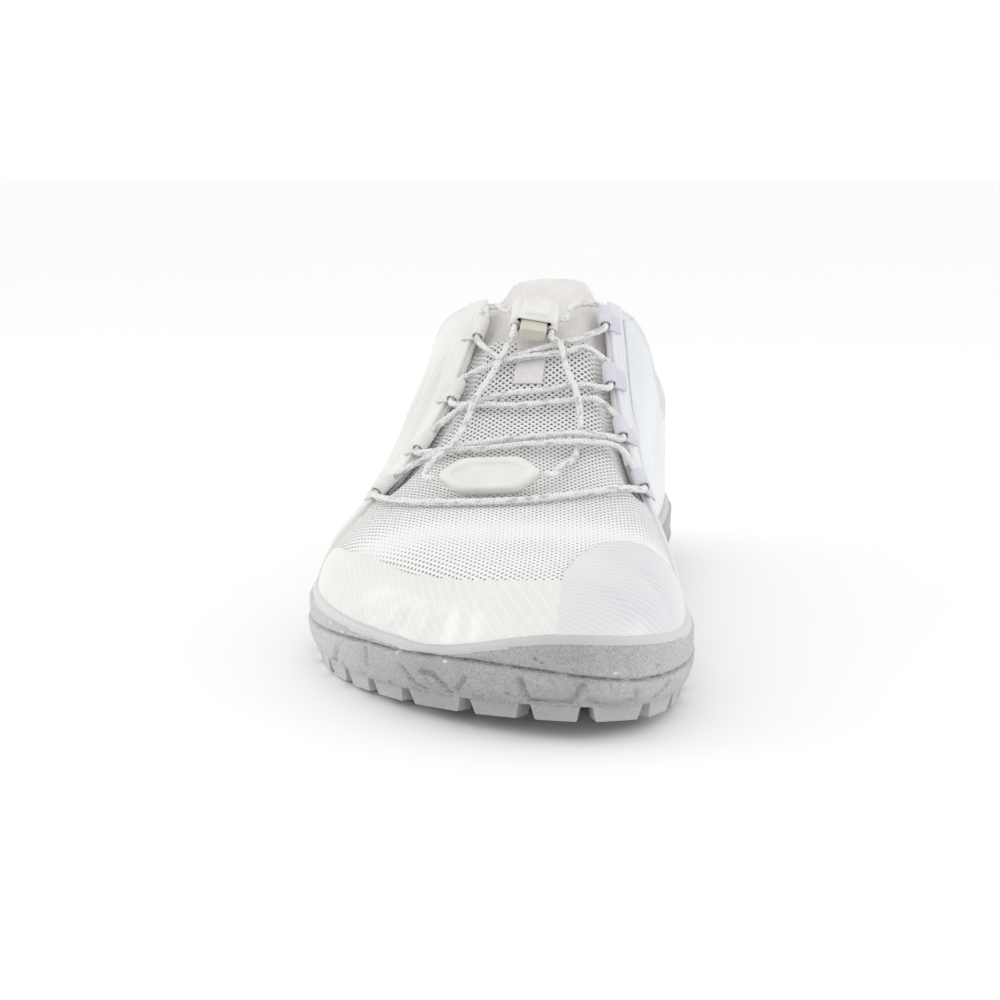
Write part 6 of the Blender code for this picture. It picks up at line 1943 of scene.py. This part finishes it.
dress(edge_lugs)
print("edge lugs:", lug_count, "behind the toe every", round(left_over / more * 1000, 2), "mm")


# %% Inner lugs: six-sided studs set on points by a Geometry Nodes tree
def stud_tree():
    tree, start, end = new_tree("studs", [("Stud", "NodeSocketObject", None),
                                          ("Finish", "NodeSocketMaterial", None)])
    stud = place(tree, "GeometryNodeObjectInfo", {"Object": start.outputs["Stud"]})
    put = place(tree, "GeometryNodeInstanceOnPoints", {"Points": start.outputs["Geometry"],
                                                       "Instance": stud.outputs["Geometry"]})
    real = place(tree, "GeometryNodeRealizeInstances", {"Geometry": put.outputs["Instances"]})
    final = place(tree, "GeometryNodeSetMaterial",
                  {"Geometry": real.outputs["Geometry"], "Material": start.outputs["Finish"]})
    tree.links.new(final.outputs["Geometry"], end.inputs["Geometry"])
    return tree


STUD_RADIUS = 0.0066
STUD_PITCH = 0.0200
keep_in = LUG_DEPTH + STUD_RADIUS + LUG_SLOT
studs = []
for row in range(1, int(LAST_LENGTH / STUD_PITCH)):
    y = row * STUD_PITCH + STUD_PITCH / 4
    low = float(edge_x(y / LAST_LENGTH, LATERAL)) + keep_in
    high = float(edge_x(y / LAST_LENGTH, MEDIAL)) - keep_in
    if high < low or min(y, LAST_LENGTH - y) < keep_in:
        continue
    count = int((high - low) / STUD_PITCH) + 1
    first = (low + high) / 2 - (count - 1) * STUD_PITCH / 2
    studs += [(first + k * STUD_PITCH, y, float(tread_z(y / LAST_LENGTH))) for k in range(count)]
work = bmesh.new()
bmesh.ops.create_cone(work, cap_ends=True, segments=6, radius1=STUD_RADIUS, radius2=STUD_RADIUS,
                      depth=lug_high, matrix=Matrix.Translation((0, 0, lug_high / 2)))
bmesh.ops.bevel(work, geom=list(work.edges), offset=0.0005, segments=2, affect="EDGES")
stud_mesh = bpy.data.meshes.new("stud")
work.to_mesh(stud_mesh)
work.free()
stud_object = bpy.data.objects.new("stud", stud_mesh)
stud_points = bpy.data.meshes.new("inner_studs")
stud_points.from_pydata(to_world(np.array(studs)).tolist(), [], [])
inner_studs = put_in("inner_studs", stud_points)
run_tree(inner_studs, stud_tree(), stud=stud_object, finish=lug_rubber)
dress(inner_studs)

# %% [markdown]
# ## Floor and light
# A pale floor that runs into a white world, with a broad light at each side, like a shop's white
# table. The side lights graze the sole and the films, so their grain and folds show.

# %% Floor
floor_mesh = bpy.data.meshes.new("floor")
floor_mesh.from_pydata([(-4, -2, 0), (4, -2, 0), (4, 8, 0), (-4, 8, 0)], [], [(0, 1, 2, 3)])
floor_look, tree, shader = start_look("pale_floor", (0.97, 0.97, 0.97), 0.9)
colour_it(tree, shader, mixed(tree, noise(tree, 3.0), (0.965, 0.965, 0.965), (0.975, 0.975, 0.975)))
floor_mesh.materials.append(floor_look)
floor = put_in("floor", floor_mesh)

# %% Lights
world = bpy.data.worlds.new("white_room")
world.use_nodes = True
world.node_tree.nodes["Background"].inputs["Color"].default_value = (1.0, 1.0, 1.0, 1)
world.node_tree.nodes["Background"].inputs["Strength"].default_value = 1.0
bpy.context.scene.world = world


def area_light(name, spot, target, size, power):
    lamp = bpy.data.lights.new(name, "AREA")
    lamp.shape = "DISK"
    lamp.size = size
    lamp.energy = power
    made = put_in(name, lamp)
    made.location = spot
    made.rotation_euler = (Vector(target) - Vector(spot)).to_track_quat("-Z", "Y").to_euler()


area_light("left_soft", (-0.95, -0.05, 0.42), (0, 0, 0.04), 0.7, 1.3)
area_light("right_soft", (1.00, 0.00, 0.42), (0, 0, 0.04), 0.7, 1.1)
scene = bpy.context.scene
scene.view_settings.view_transform = "Standard"
scene.view_settings.look = "None"

# %% The end of the frame's work
bpy.context.view_layer.update()
